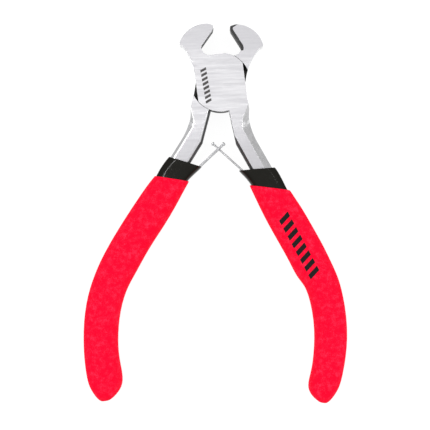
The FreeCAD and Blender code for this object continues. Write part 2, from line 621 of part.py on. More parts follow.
def sleeve_form(side):
    """The sleeve's outer shape: a wide mouth round arm and leaf, then the handle's path."""
    body = new_body(f"sleeve_{side.name}_form", side)
    mouth = f'({HANDLE_DOWN} - {side.size("sleeve_mouth_{}")})'
    lean = f'({side.size("leaf_{}_lean")} * 1 deg)'
    leaf_side = f'0 - tang_inner - {side.size("leaf_{}_thickness")}'
    leaf_x, leaf_y = on_straight(side.size("leaf_{}_knee"), leaf_side)
    leaf_at_mouth = f"{leaf_x} - (0 - {mouth} - {leaf_y}) * tan({lean})"
    inner = f"({leaf_at_mouth} - sleeve_lip_wall / cos({lean}))"
    arm_x, arm_y = on_straight(0, "tang_outer")
    outer = f"({arm_x} - (0 - {mouth} - {arm_y}) * tan({LEAN}) + sleeve_mouth_wall)"
    sections = [station(body, 0, f"({inner} + {outer}) / 2", mouth, f"({outer} - {inner}) / 2",
                        f"{ARM_END_THICKNESS} / 2 + sleeve_mouth_wall + 0.3", "sleeve_corner")]
    full_x = f"({HANDLE_OUT} + sleeve_narrowing * tan({LEAN}))"
    sections.append(handle_station(body, 1, full_x, f"{HANDLE_DOWN} + sleeve_narrowing", "handle_lean"))
    places = path_stations() + [(*on_tail("handle_tail - sleeve_end"), "0 - handle_tail_lean")]
    for number, (x, y, tilt) in enumerate(places, start=2):
        sections.append(handle_station(body, number, x, f"0 - ({y})", tilt))
    loft(body, "skin", sections)
    return body


def grip_form(side):
    """The grip's outer shape: full width, a palm swell and a tip that rounds off."""
    body = new_body(f"grip_{side.name}_form", side)
    mouth = side.size("grip_mouth_{}")
    mouth_x, mouth_down = f"({HANDLE_OUT} + {mouth} * tan({LEAN}))", f"{HANDLE_DOWN} + {mouth}"
    sections = [handle_station(body, 0, mouth_x, mouth_down, "handle_lean", "grip_wall")]
    swells = ("grip_swell * 0.7", "grip_swell", "grip_swell * 0.6", "0", "0", "0", "0")
    for number, ((x, y, tilt), swell) in enumerate(zip(path_stations(), swells), start=1):
        sections.append(handle_station(body, number, x, f"0 - ({y})", tilt, "grip_wall", swell))
    for number, (short, share) in enumerate(((3.9, 0.97), (1.9, 0.82), (0.7, 0.58), (0, 0.3)), start=8):
        x, y = on_tail(f"handle_tail - {short}")
        down = f"0 - ({y})"
        end = handle_station(body, number, x, down, "0 - handle_tail_lean", "grip_wall", share=str(share))
        sections.append(end)
    loft(body, "skin", sections)
    return body


def leaf_room(side):
    """The space that a sleeve leaves round its leaf and the head of the leaf's rivet."""
    body = new_body(f"leaf_room_{side.name}", side)
    room = draw(new_sketch(body, "edge"), leaf_outline(side, "leaf_play"))
    pad(body, room, f"{LEAF_WIDTH} + 2 * leaf_play")
    thickness = side.size("leaf_{}_thickness")
    head = body.newObject("PartDesign::AdditiveCylinder", f"{body.Name}_head")
    head.setExpression("Radius", bound("pin_head_radius + leaf_play"))
    head.setExpression("Height", bound(f"pin_head_height + {thickness} + leaf_play + pin_depth"))
    head.Placement = FreeCAD.Placement(FreeCAD.Vector(), across("handle_lean"))
    x, y = side.pin_point(f"0 - tang_inner - {thickness} - pin_head_height - leaf_play")
    head.setExpression("Placement.Base.x", bound(x))
    head.setExpression("Placement.Base.y", bound(y))
    return body


def cut(label, base, tool):
    result = DOC.addObject("Part::Cut", label)
    result.Label = label
    result.Base = base
    result.Tool = tool
    return result


def make_handle(side, half):
    """The dipped sleeve and the grip of one side."""
    sleeve, grip = sleeve_form(side), grip_form(side)
    cut(f"grip_{side.name}", grip, sleeve)
    bare = cut(f"sleeve_{side.name}_bare", sleeve, half)
    cut(f"sleeve_{side.name}", bare, leaf_room(side))


# ---------------------------------------------------------------- the tool

NODES = ["pivot_rivet"]
make_pivot_rivet()
for side in (RIGHT, LEFT):
    half = make_half(side)
    make_leaf(side)
    make_spring_pin(side)
    make_handle(side, half)
    NODES.append(side.half_name)
    NODES += [f"{stem}_{side.name}" for stem in ("spring", "spring_rivet", "sleeve", "grip")]
DOC.recompute()

failed = [item.Name for item in DOC.Objects if {"Invalid", "Error"} & set(item.State)]
if failed:
    raise RuntimeError(f"objects that could not be made: {failed}")

os.makedirs("parts", exist_ok=True)
for node in NODES:
    shape = DOC.getObject(node).Shape
    if shape.isNull() or not shape.isValid() or not shape.Solids:
        raise RuntimeError(f"{node} has no valid solid")
    box = shape.BoundBox
    spans = (("x", box.XMin, box.XMax), ("y", box.YMin, box.YMax), ("z", box.ZMin, box.ZMax))
    places = ", ".join(f"{axis} {low:.2f}..{high:.2f}" for axis, low, high in spans)
    print(f"{node}: {len(shape.Solids)} solid, {shape.Volume:.1f} mm3, {places}")
    shape.exportStep(f"parts/{node}.step")
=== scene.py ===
import json
import logging
import math
from collections.abc import Callable, Iterator, Sequence
from contextlib import contextmanager
from dataclasses import dataclass, field
from enum import Enum

import bmesh
import bpy
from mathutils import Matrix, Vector


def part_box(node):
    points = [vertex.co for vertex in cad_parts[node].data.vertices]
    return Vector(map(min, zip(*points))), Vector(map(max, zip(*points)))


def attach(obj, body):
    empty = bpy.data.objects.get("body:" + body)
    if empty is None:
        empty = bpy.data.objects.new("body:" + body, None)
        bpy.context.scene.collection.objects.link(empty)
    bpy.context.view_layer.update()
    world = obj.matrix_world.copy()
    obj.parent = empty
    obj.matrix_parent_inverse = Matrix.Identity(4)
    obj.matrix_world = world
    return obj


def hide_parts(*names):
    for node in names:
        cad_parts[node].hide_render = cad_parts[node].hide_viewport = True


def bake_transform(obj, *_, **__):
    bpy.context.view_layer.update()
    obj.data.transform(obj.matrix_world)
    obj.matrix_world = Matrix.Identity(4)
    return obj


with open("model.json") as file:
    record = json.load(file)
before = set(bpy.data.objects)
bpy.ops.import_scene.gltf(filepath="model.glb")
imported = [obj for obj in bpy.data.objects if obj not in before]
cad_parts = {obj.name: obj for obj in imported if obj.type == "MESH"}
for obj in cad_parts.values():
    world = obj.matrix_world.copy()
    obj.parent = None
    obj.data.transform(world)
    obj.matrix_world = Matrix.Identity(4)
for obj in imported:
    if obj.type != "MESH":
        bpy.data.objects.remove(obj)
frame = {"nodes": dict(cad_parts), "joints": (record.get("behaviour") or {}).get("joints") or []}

# Looks of a pair of mini end-cutting pliers that lie flat and open: a brushed lap-joint
# head, two crossed leaf springs, glossy black inner sleeves and red soft grips.
#
# Sizes are in millimetres and turned into metres where an operator takes them.  A place
# along a handle is its distance from the start of the handle's middle line, and an offset
# is measured from that line, positive away from the other handle.

LOG = logging.getLogger("end_cutting_pliers")
MM = 0.001
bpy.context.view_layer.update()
HEAD_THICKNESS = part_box("front_half")[1].z / MM
MIDDLE = HEAD_THICKNESS / 2
HALF_OPEN = math.radians(frame["joints"][0]["range_deg"][1]) / 2


class Side(Enum):
    """The side of the tool that a part is on, with its sign along X."""

    RIGHT = 1
    LEFT = -1

    @property
    def word(self) -> str:
        """The side's name as the CAD nodes have it."""
        return self.name.lower()

    @property
    def body(self) -> str:
        """The rigid body that this side's arm belongs to."""
        return "front" if self is Side.RIGHT else "rear"

    @property
    def leaf(self) -> str:
        """The body of the leaf spring that is fixed to this side."""
        return f"leaf_{self.word}"


# ---------------------------------------------------------------- shader building


class Signal:
    """A node's output, on which Python's operators add Math nodes."""

    def __init__(self, recipe: "Recipe", socket: bpy.types.NodeSocket) -> None:
        """Wraps an output.

        Args:
            recipe: The material that the socket belongs to.
            socket: The output itself.
        """
        self.recipe = recipe
        self.socket = socket

    def math(self, operation: str, *values: "Signal | float") -> "Signal":
        """Adds a Math node.

        Args:
            operation: The node's operation.
            values: Its inputs, in order.

        Returns:
            The node's output.
        """
        return self.recipe.add("ShaderNodeMath", {"operation": operation}, dict(enumerate(values)))

    def __add__(self, other: "Signal | float") -> "Signal":
        """The sum."""
        return self.math("ADD", self, other)

    __radd__ = __add__

    def __sub__(self, other: "Signal | float") -> "Signal":
        """The difference."""
        return self.math("SUBTRACT", self, other)

    def __rsub__(self, other: float) -> "Signal":
        """The difference, the other way round."""
        return self.math("SUBTRACT", other, self)

    def __mul__(self, other: "Signal | float") -> "Signal":
        """The product."""
        return self.math("MULTIPLY", self, other)

    __rmul__ = __mul__

    def __abs__(self) -> "Signal":
        """The absolute value."""
        return self.math("ABSOLUTE", self)

    def __lt__(self, other: "Signal | float") -> "Signal":
        """1 where this is less, and 0 elsewhere."""
        return self.math("LESS_THAN", self, other)

    def __gt__(self, other: "Signal | float") -> "Signal":
        """1 where this is more, and 0 elsewhere."""
        return self.math("GREATER_THAN", self, other)

    def fraction(self) -> "Signal":
        """What is left above the whole number."""
        return self.math("FRACT", self)

    def between(self, low: float, high: float) -> "Signal":
        """1 from low to high, and 0 elsewhere."""
        return (self > low) * (self < high)

    def rise(self, low: float, high: float) -> "Signal":
        """A smooth step from 0 at low to 1 at high."""
        settings = {"interpolation_type": "SMOOTHSTEP", "clamp": True}
        return self.recipe.add(
            "ShaderNodeMapRange", settings, {"Value": self, "From Min": low, "From Max": high}
        )


class Recipe:
    """A material's nodes, on one Principled shader."""

    def __init__(self, name: str) -> None:
        """Starts an empty material.

        Args:
            name: The material's name.
        """
        self.material = bpy.data.materials.new(name)
        self.material.use_nodes = True
        self.tree = self.material.node_tree
        self.shader = self.tree.nodes["Principled BSDF"]

    def add(
        self,
        kind: str,
        settings: dict[str, object] | None = None,
        inputs: dict[int | str, object] | None = None,
        output: int | str = 0,
    ) -> Signal:
        """Adds a node of any type.

        Args:
            kind: The node's type.
            settings: Its properties, which are set first.
            inputs: A value or a link for each named or numbered socket.
            output: Which output to return.

        Returns:
            That output.
        """
        node = self.tree.nodes.new(kind)
        for name, value in (settings or {}).items():
            setattr(node, name, value)
        for key, value in (inputs or {}).items():
            if isinstance(value, Signal):
                self.tree.links.new(value.socket, node.inputs[key])
            else:
                node.inputs[key].default_value = value
        return Signal(self, node.outputs[output])

    def place(
        self,
        centre: Sequence[float] = (0.0, 0.0, 0.0),
        turn: float = 0.0,
        stretch: Sequence[float] = (1.0, 1.0, 1.0),
    ) -> Signal:
        """Object coordinates in millimetres about a centre, turned about Z, then stretched.

        Args:
            centre: The point that becomes the origin, in millimetres.
            turn: The direction that becomes +X, in radians from +X.
            stretch: How many pattern units there are in a millimetre, on each axis.

        Returns:
            The coordinates.
        """
        here = self.add("ShaderNodeTexCoord", output="Object")
        cosine, sine = math.cos(-turn), math.sin(-turn)
        moved = (
            -(centre[0] * cosine - centre[1] * sine),
            -(centre[0] * sine + centre[1] * cosine),
            -centre[2],
        )
        turned = self.add(
            "ShaderNodeMapping",
            inputs={
                "Vector": here,
                "Location": moved,
                "Rotation": (0.0, 0.0, -turn),
                "Scale": (1 / MM, 1 / MM, 1 / MM),
            },
        )
        return self.add("ShaderNodeMapping", inputs={"Vector": turned, "Scale": tuple(stretch)})

    def axes(self, vector: Signal) -> tuple[Signal, Signal, Signal]:
        """The three parts of a vector."""
        split = self.add("ShaderNodeSeparateXYZ", inputs={"Vector": vector})
        return tuple(Signal(self, out) for out in split.socket.node.outputs)

    def noise(
        self, vector: Signal, scale: float, detail: float = 2.0, roughness: float = 0.5
    ) -> Signal:
        """Noise from 0 to 1.

        Args:
            vector: Where it is read.
            scale: Lumps per unit of the vector.
            detail: How many finer layers it has.
            roughness: How strong those layers are.

        Returns:
            The noise.
        """
        inputs = {"Vector": vector, "Scale": scale, "Detail": detail, "Roughness": roughness}
        return self.add("ShaderNodeTexNoise", inputs=inputs)

    def warp(self, vector: Signal, scale: float, amount: float) -> Signal:
        """The vector pushed about by slow noise.

        Args:
            vector: The vector.
            scale: Lumps of that noise per unit.
            amount: The furthest push, in units.

        Returns:
            The pushed vector.
        """
        push = self.add(
            "ShaderNodeTexNoise", inputs={"Vector": vector, "Scale": scale}, output="Color"
        )
        centred = self.add(
            "ShaderNodeVectorMath", {"operation": "SUBTRACT"}, {0: push, 1: (0.5, 0.5, 0.5)}
        )
        sized = self.add(
            "ShaderNodeVectorMath", {"operation": "SCALE"}, {0: centred, "Scale": 2 * amount}
        )
        return self.add("ShaderNodeVectorMath", {"operation": "ADD"}, {0: vector, 1: sized})

    def tint(
        self, share: Signal, first: "Signal | Sequence[float]", second: "Signal | Sequence[float]"
    ) -> Signal:
        """A mix of two colours.

        Args:
            share: 0 for the first, 1 for the second.
            first: A colour's red, green and blue, or another mix.
            second: The same for the other.

        Returns:
            The mixed colour.
        """
        ends = [end if isinstance(end, Signal) else (*end, 1.0) for end in (first, second)]
        inputs = {0: share, 6: ends[0], 7: ends[1]}
        return self.add("ShaderNodeMix", {"data_type": "RGBA"}, inputs, output=2)

    def feed(self, socket: str, value: "Signal | float | Sequence[float]") -> None:
        """Sets one of the shader's own sockets, or links to it.

        Args:
            socket: The socket's name.
            value: A constant, or what varies over the surface.
        """
        if isinstance(value, Signal):
            self.tree.links.new(value.socket, self.shader.inputs[socket])
        elif isinstance(value, (int, float)):
            self.shader.inputs[socket].default_value = value
        else:
            self.shader.inputs[socket].default_value = (*value, 1.0)

    def relief(self, height: Signal, depth: float, strength: float = 1.0) -> None:
        """Lets a height from 0 to 1 tilt the surface's normal.

        Args:
            height: The height over the surface.
            depth: What a height of 1 stands for, in millimetres.
            strength: How much of the tilt is used.
        """
        inputs = {"Height": height, "Distance": depth * MM, "Strength": strength}
        self.feed("Normal", self.add("ShaderNodeBump", inputs=inputs))


@dataclass(frozen=True)
class Mark:
    """A plain row of slanted bars, printed flat on an outer face.

    Attributes:
        start: The middle of the row's first end, across the tool in millimetres.
        turn: The direction of the row, in degrees from +X.
        length: The row's length.
        height: The bars' height.
        bars: How many bars there are.
        ink: The ink's colour.
    """

    start: tuple[float, float]
    turn: float
    length: float
    height: float
    bars: int
    ink: tuple[float, float, float] = (0.012, 0.012, 0.012)

    def mask(self, recipe: Recipe) -> Signal:
        """1 on the bars and 0 elsewhere.

        Args:
            recipe: The material that is printed on.

        Returns:
            The mask.
        """
        row = recipe.place((*self.start, MIDDLE), math.radians(self.turn))
        along, across, up = recipe.axes(row)
        slanted = along + across * 0.35
        inside = slanted.between(0.0, self.length) * (abs(across) < self.height / 2)
        bar = (slanted * (self.bars / self.length)).fraction() < 0.58
        return inside * bar * (up > 0.0)


# ---------------------------------------------------------------- finishes


@dataclass(frozen=True)
class BrushedSteel:
    """Flat steel ground and brushed across the head, with faint wandering lines.

    Attributes:
        name: The material's name.
        bright: Colour between the lines.
        dim: Colour in the lines.
        gloss: Lowest and highest roughness.
        lean: How far the lines rise towards +X, in degrees.
        jaw_darkening: How far the jaws go towards the dim colour.
        arm_painted_shade: How far the arms go towards it, as painted shade for their faces that
            tilt back.
        mark: A printed row, if there is one.
    """

    name: str
    bright: tuple[float, float, float] = (0.64, 0.635, 0.65)
    dim: tuple[float, float, float] = (0.46, 0.455, 0.475)
    gloss: tuple[float, float] = (0.30, 0.46)
    lean: float = 3.0
    jaw_darkening: float = 0.7
    arm_painted_shade: float = 0.75
    mark: Mark | None = None

    def make(self) -> bpy.types.Material:
        """Builds the material.

        Returns:
            The material.
        """
        recipe = Recipe(self.name)
        lines = recipe.place(turn=math.radians(self.lean))
        wandering = recipe.warp(lines, 0.16, 0.35)
        coarse_at, fine_at = (
            recipe.add("ShaderNodeMapping", inputs={"Vector": wandering, "Scale": stretch})
            for stretch in ((0.07, 1.0, 1.0), (0.22, 6.0, 6.0))
        )
        coarse = recipe.noise(coarse_at, 1.1, 3.0, 0.55)
        fine = recipe.noise(fine_at, 1.0, 3.0, 0.6)
        cloud = recipe.noise(recipe.place(), 0.22, 2.0)
        streak = coarse.rise(0.3, 0.7) * 0.62 + fine.rise(0.25, 0.75) * 0.38
        colour = recipe.tint(streak, self.dim, self.bright)
        spots = recipe.noise(recipe.place(), 2.6, 4.0, 0.7).rise(0.66, 0.8) * 0.25
        colour = recipe.tint(spots, colour, tuple(0.8 * part for part in self.dim))
        # The jaws are darkened towards the dim colour, and the arms too, as painted shade for
        # their faces that tilt back.
        _, to_jaws, _ = recipe.axes(recipe.place())
        jaws = to_jaws.rise(6.0, 12.0) * self.jaw_darkening
        arms = (0 - to_jaws).rise(9.0, 20.0) * self.arm_painted_shade
        colour = recipe.tint(jaws + arms, colour, self.dim)
        low, high = self.gloss
        roughness = (1 - streak) * (high - low) + low + (cloud - 0.5) * 0.08
        recipe.feed("Metallic", 1.0)
        if self.mark:
            print_mask = self.mark.mask(recipe)
            colour = recipe.tint(print_mask, colour, self.mark.ink)
            roughness = roughness + print_mask * 0.2
            recipe.feed("Metallic", 1 - print_mask)
        recipe.feed("Base Color", colour)
        recipe.feed("Roughness", roughness)
        recipe.relief(coarse * 0.6 + fine * 0.4, 0.02, 0.5)
        return recipe.material


@dataclass(frozen=True)
class DarkForgingAndShade:
    """Steel left as forged: nearly black scale, worn a little brighter in patches. On the halves
    it also stands for painted shade on the inner sides and for a painted shadow line on the plate
    edges.

    Attributes:
        name: The material's name.
        scale: Colour of the scale.
        worn: Colour where it is worn.
    """

    name: str
    scale: tuple[float, float, float] = (0.022, 0.022, 0.020)
    worn: tuple[float, float, float] = (0.09, 0.09, 0.088)

    def make(self) -> bpy.types.Material:
        """Builds the material.

        Returns:
            The material.
        """
        recipe = Recipe(self.name)
        grain = recipe.noise(recipe.place(), 3.2, 5.0, 0.65)
        patches = recipe.noise(recipe.place(), 0.35, 3.0)
        wear_and_highlight = (grain * 0.6 + patches * 0.4).rise(0.5, 0.72)
        recipe.feed("Base Color", recipe.tint(wear_and_highlight, self.scale, self.worn))
        recipe.feed("Metallic", 0.55)
        recipe.feed("Roughness", 0.62 - wear_and_highlight * 0.2)
        recipe.relief(grain, 0.05, 0.7)
        return recipe.material


@dataclass(frozen=True)
class SpringSteel:
    """Bright rolled strip with a fine lengthwise grain.

    Attributes:
        name: The material's name.
        turn: The strip's direction, in degrees from +X.
        bright: Its colour.
        dim: Its colour in the grain.
    """

    name: str
    turn: float
    bright: tuple[float, float, float] = (0.48, 0.48, 0.49)
    dim: tuple[float, float, float] = (0.26, 0.26, 0.27)

    def make(self) -> bpy.types.Material:
        """Builds the material.

        Returns:
            The material.
        """
        recipe = Recipe(self.name)
        grain_at = recipe.place(turn=math.radians(self.turn), stretch=(0.35, 7.0, 7.0))
        grain = recipe.noise(grain_at, 1.0, 4.0, 0.6).rise(0.3, 0.7)
        recipe.feed("Base Color", recipe.tint(grain, self.dim, self.bright))
        recipe.feed("Metallic", 1.0)
        recipe.feed("Roughness", 0.42 - grain * 0.14)
        recipe.relief(grain, 0.012, 0.5)
        return recipe.material


@dataclass(frozen=True)
class GlossSleeve:
    """Black soft PVC with a wet-looking skin, lightly scuffed.

    Attributes:
        name: The material's name.
        black: Its colour.
        dusty: Its colour where it is scuffed.
    """

    name: str
    black: tuple[float, float, float] = (0.0035, 0.003, 0.001)
    dusty: tuple[float, float, float] = (0.010, 0.009, 0.006)

    def make(self) -> bpy.types.Material:
        """Builds the material.

        Returns:
            The material.
        """
        recipe = Recipe(self.name)
        skin = recipe.noise(recipe.place(), 0.9, 3.0, 0.55)
        grain = recipe.noise(recipe.place(), 7.0, 3.0, 0.6)
        scuffs = (skin * 0.5 + grain * 0.5).rise(0.52, 0.68)
        recipe.feed("Base Color", recipe.tint(scuffs, self.black, self.dusty))
        recipe.feed("Roughness", scuffs * 0.08 + 0.11)
        recipe.feed("Specular IOR Level", 0.2)
        recipe.relief(skin * 0.75 + grain * 0.25, 0.05, 0.35)
        return recipe.material


@dataclass(frozen=True)
class SoftGrip:
    """Red foam-like grip: matte, finely pitted, a little darker in the pits.

    Attributes:
        name: The material's name.
        red: Its colour.
        deep: Its colour in the pits.
        pale: Its colour on the tops of the grain.
        mark: A printed row, if there is one.
    """

    name: str
    red: tuple[float, float, float] = (1.0, 0.001, 0.03)
    deep: tuple[float, float, float] = (0.80, 0.0, 0.016)
    pale: tuple[float, float, float] = (1.0, 0.022, 0.07)
    mark: Mark | None = None

    def make(self) -> bpy.types.Material:
        """Builds the material.

        Returns:
            The material.
        """
        recipe = Recipe(self.name)
        here = recipe.place()
        fine = recipe.noise(here, 4.2, 4.0, 0.65)
        pores = recipe.add(
            "ShaderNodeTexVoronoi", inputs={"Vector": here, "Scale": 2.7, "Randomness": 1.0}
        )
        mottle = recipe.noise(here, 0.55, 4.0, 0.65)
        colour = recipe.tint(fine.rise(0.3, 0.55), self.deep, self.red)
        high = (fine * 0.5 + mottle * 0.5).rise(0.48, 0.62)
        colour = recipe.tint(high, colour, self.pale)
        roughness = 0.72 + fine * 0.16
        if self.mark:
            print_mask = self.mark.mask(recipe) * (1 - fine.rise(0.62, 0.75) * 0.35)
            colour = recipe.tint(print_mask, colour, self.mark.ink)
            roughness = roughness - print_mask * 0.2
        recipe.feed("Base Color", colour)
        recipe.feed("Roughness", roughness)
        recipe.feed("Specular IOR Level", 0.06)
        recipe.relief(fine * 0.55 + pores.rise(0.0, 0.6) * 0.3 + mottle * 0.15, 0.16, 0.6)
        return recipe.material


# ---------------------------------------------------------------- modelling


def clear_bench() -> None:
    """Leaves edit mode and deselects everything."""
    if bpy.context.mode != "OBJECT":
        bpy.ops.object.mode_set(mode="OBJECT")
    bpy.ops.object.select_all(action="DESELECT")


@dataclass
class Workpiece:
    """One mesh that is shaped with Blender's own tools.

    Attributes:
        obj: The mesh object.
    """

    obj: bpy.types.Object

    @classmethod
    def plate(cls, name: str, width: float, height: float) -> "Workpiece":
        """Starts from a flat plate across X, its middle at the origin.

        Args:
            name: The piece's name.
            width: Its size along Y, in millimetres.
            height: Its size along Z, in millimetres.

        Returns:
            The piece.
        """
        clear_bench()
        bpy.ops.mesh.primitive_plane_add(size=MM, rotation=(0.0, -math.pi / 2, 0.0))
        piece = cls(bpy.context.active_object)
        piece.obj.name = piece.obj.data.name = name
        piece.obj.select_set(True)
        bpy.ops.object.transform_apply(location=True, rotation=True, scale=True)
        with piece.editing():
            bpy.ops.mesh.select_all(action="SELECT")
            bpy.ops.transform.resize(value=(1.0, width, height), center_override=(0, 0, 0))
        return piece

    @classmethod
    def copy_of(cls, source: bpy.types.Object, name: str) -> "Workpiece":
        """A copy of a mesh, its doubles merged.

        Args:
            source: The object that is copied.
            name: The copy's name.

        Returns:
            The piece.
        """
        clear_bench()
        obj = bpy.data.objects.new(name, source.data.copy())
        obj.data.name = name
        bpy.context.scene.collection.objects.link(obj)
        piece = cls(obj)
        piece.hold()
        with piece.editing():
            bpy.ops.mesh.select_all(action="SELECT")
            bpy.ops.mesh.remove_doubles(threshold=0.002 * MM)
        return piece

    def hold(self) -> None:
        """Makes this the one selected and active object."""
        clear_bench()
        self.obj.hide_viewport = False
        self.obj.select_set(True)
        bpy.context.view_layer.objects.active = self.obj

    @contextmanager
    def editing(self) -> Iterator[None]:
        """Edit mode on this piece alone."""
        self.hold()
        bpy.ops.object.mode_set(mode="EDIT")
        yield
        bpy.ops.object.mode_set(mode="OBJECT")

    def pick(self, kind: str, test: Callable[..., bool]) -> int:
        """Selects, in edit mode, only what passes a test.

        Args:
            kind: VERT, EDGE or FACE.
            test: Takes each bmesh element and says whether it is selected.

        Returns:
            How many are selected.
        """
        bpy.ops.mesh.select_mode(type=kind)
        bpy.ops.mesh.select_all(action="DESELECT")
        mesh = bmesh.from_edit_mesh(self.obj.data)
        elements = {"VERT": mesh.verts, "EDGE": mesh.edges, "FACE": mesh.faces}[kind]
        found = [element for element in elements if test(element)]
        for element in found:
            element.select_set(True)
        mesh.select_flush_mode()
        bmesh.update_edit_mesh(self.obj.data)
        return len(found)

    def apply(self, kind: str, **settings: object) -> None:
        """Adds a modifier and applies it.

        Args:
            kind: The modifier's type.
            settings: Its properties.
        """
        self.hold()
        modifier = self.obj.modifiers.new(kind.lower(), kind)
        for name, value in settings.items():
            setattr(modifier, name, value)
        bpy.ops.object.modifier_apply(modifier=modifier.name)

    def hollow_with(self, tool: bpy.types.Object, room: float) -> None:
        """Cuts away a copy of another mesh, made a little larger all over.

        Args:
            tool: The mesh that is cut away.
            room: How much larger, in millimetres.
        """
        cutter = Workpiece.copy_of(tool, "cutter")
        with cutter.editing():
            bpy.ops.mesh.select_all(action="SELECT")
            bpy.ops.transform.shrink_fatten(value=room * MM)
        self.apply("BOOLEAN", operation="DIFFERENCE", object=cutter.obj, solver="EXACT")
        bpy.data.objects.remove(cutter.obj)

    def soften(self, degrees: float = 35.0) -> None:
        """Smooth shading, except over edges sharper than an angle.

        Args:
            degrees: That angle.
        """
        self.hold()
        bpy.ops.object.shade_smooth_by_angle(angle=math.radians(degrees))
        self.apply("WEIGHTED_NORMAL", keep_sharp=True)

    def dress(self, material: bpy.types.Material) -> None:
        """Puts one material all over the piece."""
        self.obj.data.materials.clear()
        self.obj.data.materials.append(material)

    def finish(self, stands_for: str, slot: str) -> None:
        """Hides the CAD node that the piece stands for, and logs the piece's face count.

        Args:
            stands_for: The CAD node.
            slot: The record's material slot. Not used.
        """
        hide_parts(stands_for)
        faces = len(self.obj.data.polygons)
        LOG.info("%s: %d faces, stands for %s", self.obj.name, faces, stands_for)


@dataclass(frozen=True)
class Ring:
    """A cross-section of a handle part.

    Attributes:
        along: Where its middle is.
        inner: How far it reaches towards the other handle.
        outer: How far it reaches away from it.
        height: Half its thickness.
        slant: How far its outer side trails, in degrees.
    """

    along: float
    inner: float
    outer: float
    height: float
    slant: float = 0.0

    def centre(self, side: Side) -> Vector:
        """The ring's middle in the straight model, in millimetres."""
        return Vector((self.along, side.value * (self.outer - self.inner) / 2, 0.0))


@dataclass
class MiddleLine:
    """The line that a handle follows: straight, then a bend inwards, then a straight tail.

    Attributes:
        start: Its start with the tool closed, for the right handle.
        lean: Lean of the straight part, away from the other handle, in degrees.
        straight: Length of the straight part.
        radius: Radius of the bend.
        tail_lean: Inward lean of the tail, in degrees.
        tail: Length of the tail.
        lead: How far the line is carried on before its start and past its end.
    """

    start: tuple[float, float] = (9.2, -29.0)
    lean: float = 22.5
    straight: float = 24.9
    radius: float = 58.0
    tail_lean: float = 17.0
    tail: float = 9.4
    lead: float = 12.0

    @property
    def length(self) -> float:
        """From the start to the grip's end."""
        turn = math.radians(self.lean + self.tail_lean)
        return self.straight + turn * self.radius + self.tail

    def opened(self, side: Side, x: float, y: float) -> Vector:
        """A point of the closed right half, moved to one side of the open tool.

        Args:
            side: The side.
            x: Across, in millimetres.
            y: Towards the jaws, in millimetres.

        Returns:
            The point in millimetres, level with the middle of the head's thickness.
        """
        cosine, sine = math.cos(HALF_OPEN), math.sin(HALF_OPEN)
        return Vector((side.value * (x * cosine - y * sine), x * sine + y * cosine, MIDDLE))

    def beside(self, side: Side, along: float, offset: float) -> Vector:
        """A point beside the line's straight part.

        Args:
            side: The side of the tool.
            along: Distance from the start of the line.
            offset: Distance from the line, positive away from the other handle.

        Returns:
            The point in millimetres.
        """
        lean = math.radians(self.lean)
        x = self.start[0] + along * math.sin(lean) + offset * math.cos(lean)
        y = self.start[1] - along * math.cos(lean) + offset * math.sin(lean)
        return self.opened(side, x, y)

    def curve(self, side: Side) -> bpy.types.Object:
        """The line as a Bezier curve, which starts one lead before the line does.

        Args:
            side: The side of the tool.

        Returns:
            The curve's object.
        """
        lean, tail = math.radians(self.lean), math.radians(-self.tail_lean)
        hub = (
            self.start[0] + self.straight * math.sin(lean) - self.radius * math.cos(lean),
            self.start[1] - self.straight * math.cos(lean) - self.radius * math.sin(lean),
        )
        knots = [(self.on_arc(hub, lean), lean), (self.on_arc(hub, tail), tail)]
        first = self.step(knots[0][0], lean, -self.straight - self.lead)
        last = self.step(knots[1][0], tail, self.tail + self.lead)
        reach = self.radius * 4 / 3 * math.tan((lean - tail) / 4)
        ends = [(first, lean, 1.0, 1.0), (last, tail, 1.0, 1.0)]
        handles = [(knots[0][0], lean, 1.0, reach), (knots[1][0], tail, reach, 1.0)]
        bends = [ends[0], *handles, ends[1]]
        return bezier([
            (
                self.opened(side, *self.step(point, angle, -before)),
                self.opened(side, *point),
                self.opened(side, *self.step(point, angle, after)),
            )
            for point, angle, before, after in bends
        ])

    def on_arc(self, hub: tuple[float, float], angle: float) -> tuple[float, float]:
        """The point of the bend where the line leans by an angle, in radians."""
        return hub[0] + self.radius * math.cos(angle), hub[1] + self.radius * math.sin(angle)

    @staticmethod
    def step(point: tuple[float, float], angle: float, length: float) -> tuple[float, float]:
        """A point moved down a line that leans outwards by an angle, in radians."""
        return point[0] + length * math.sin(angle), point[1] - length * math.cos(angle)


def bezier(knots: Sequence[tuple[Vector, Vector, Vector]]) -> bpy.types.Object:
    """A Bezier curve.

    Args:
        knots: For each knot its near handle, its place and its far handle, in millimetres.

    Returns:
        The curve's object.
    """
    clear_bench()
    data = bpy.data.curves.new("guide", "CURVE")
    data.dimensions = "3D"
    data.twist_mode = "Z_UP"
    data.resolution_u = 200
    spline = data.splines.new("BEZIER")
    spline.bezier_points.add(len(knots) - 1)
    for point, (near, middle, far) in zip(spline.bezier_points, knots):
        point.handle_left_type = point.handle_right_type = "FREE"
        point.handle_left, point.co, point.handle_right = near * MM, middle * MM, far * MM
    guide = bpy.data.objects.new("guide", data)
    bpy.context.scene.collection.objects.link(guide)
    return guide


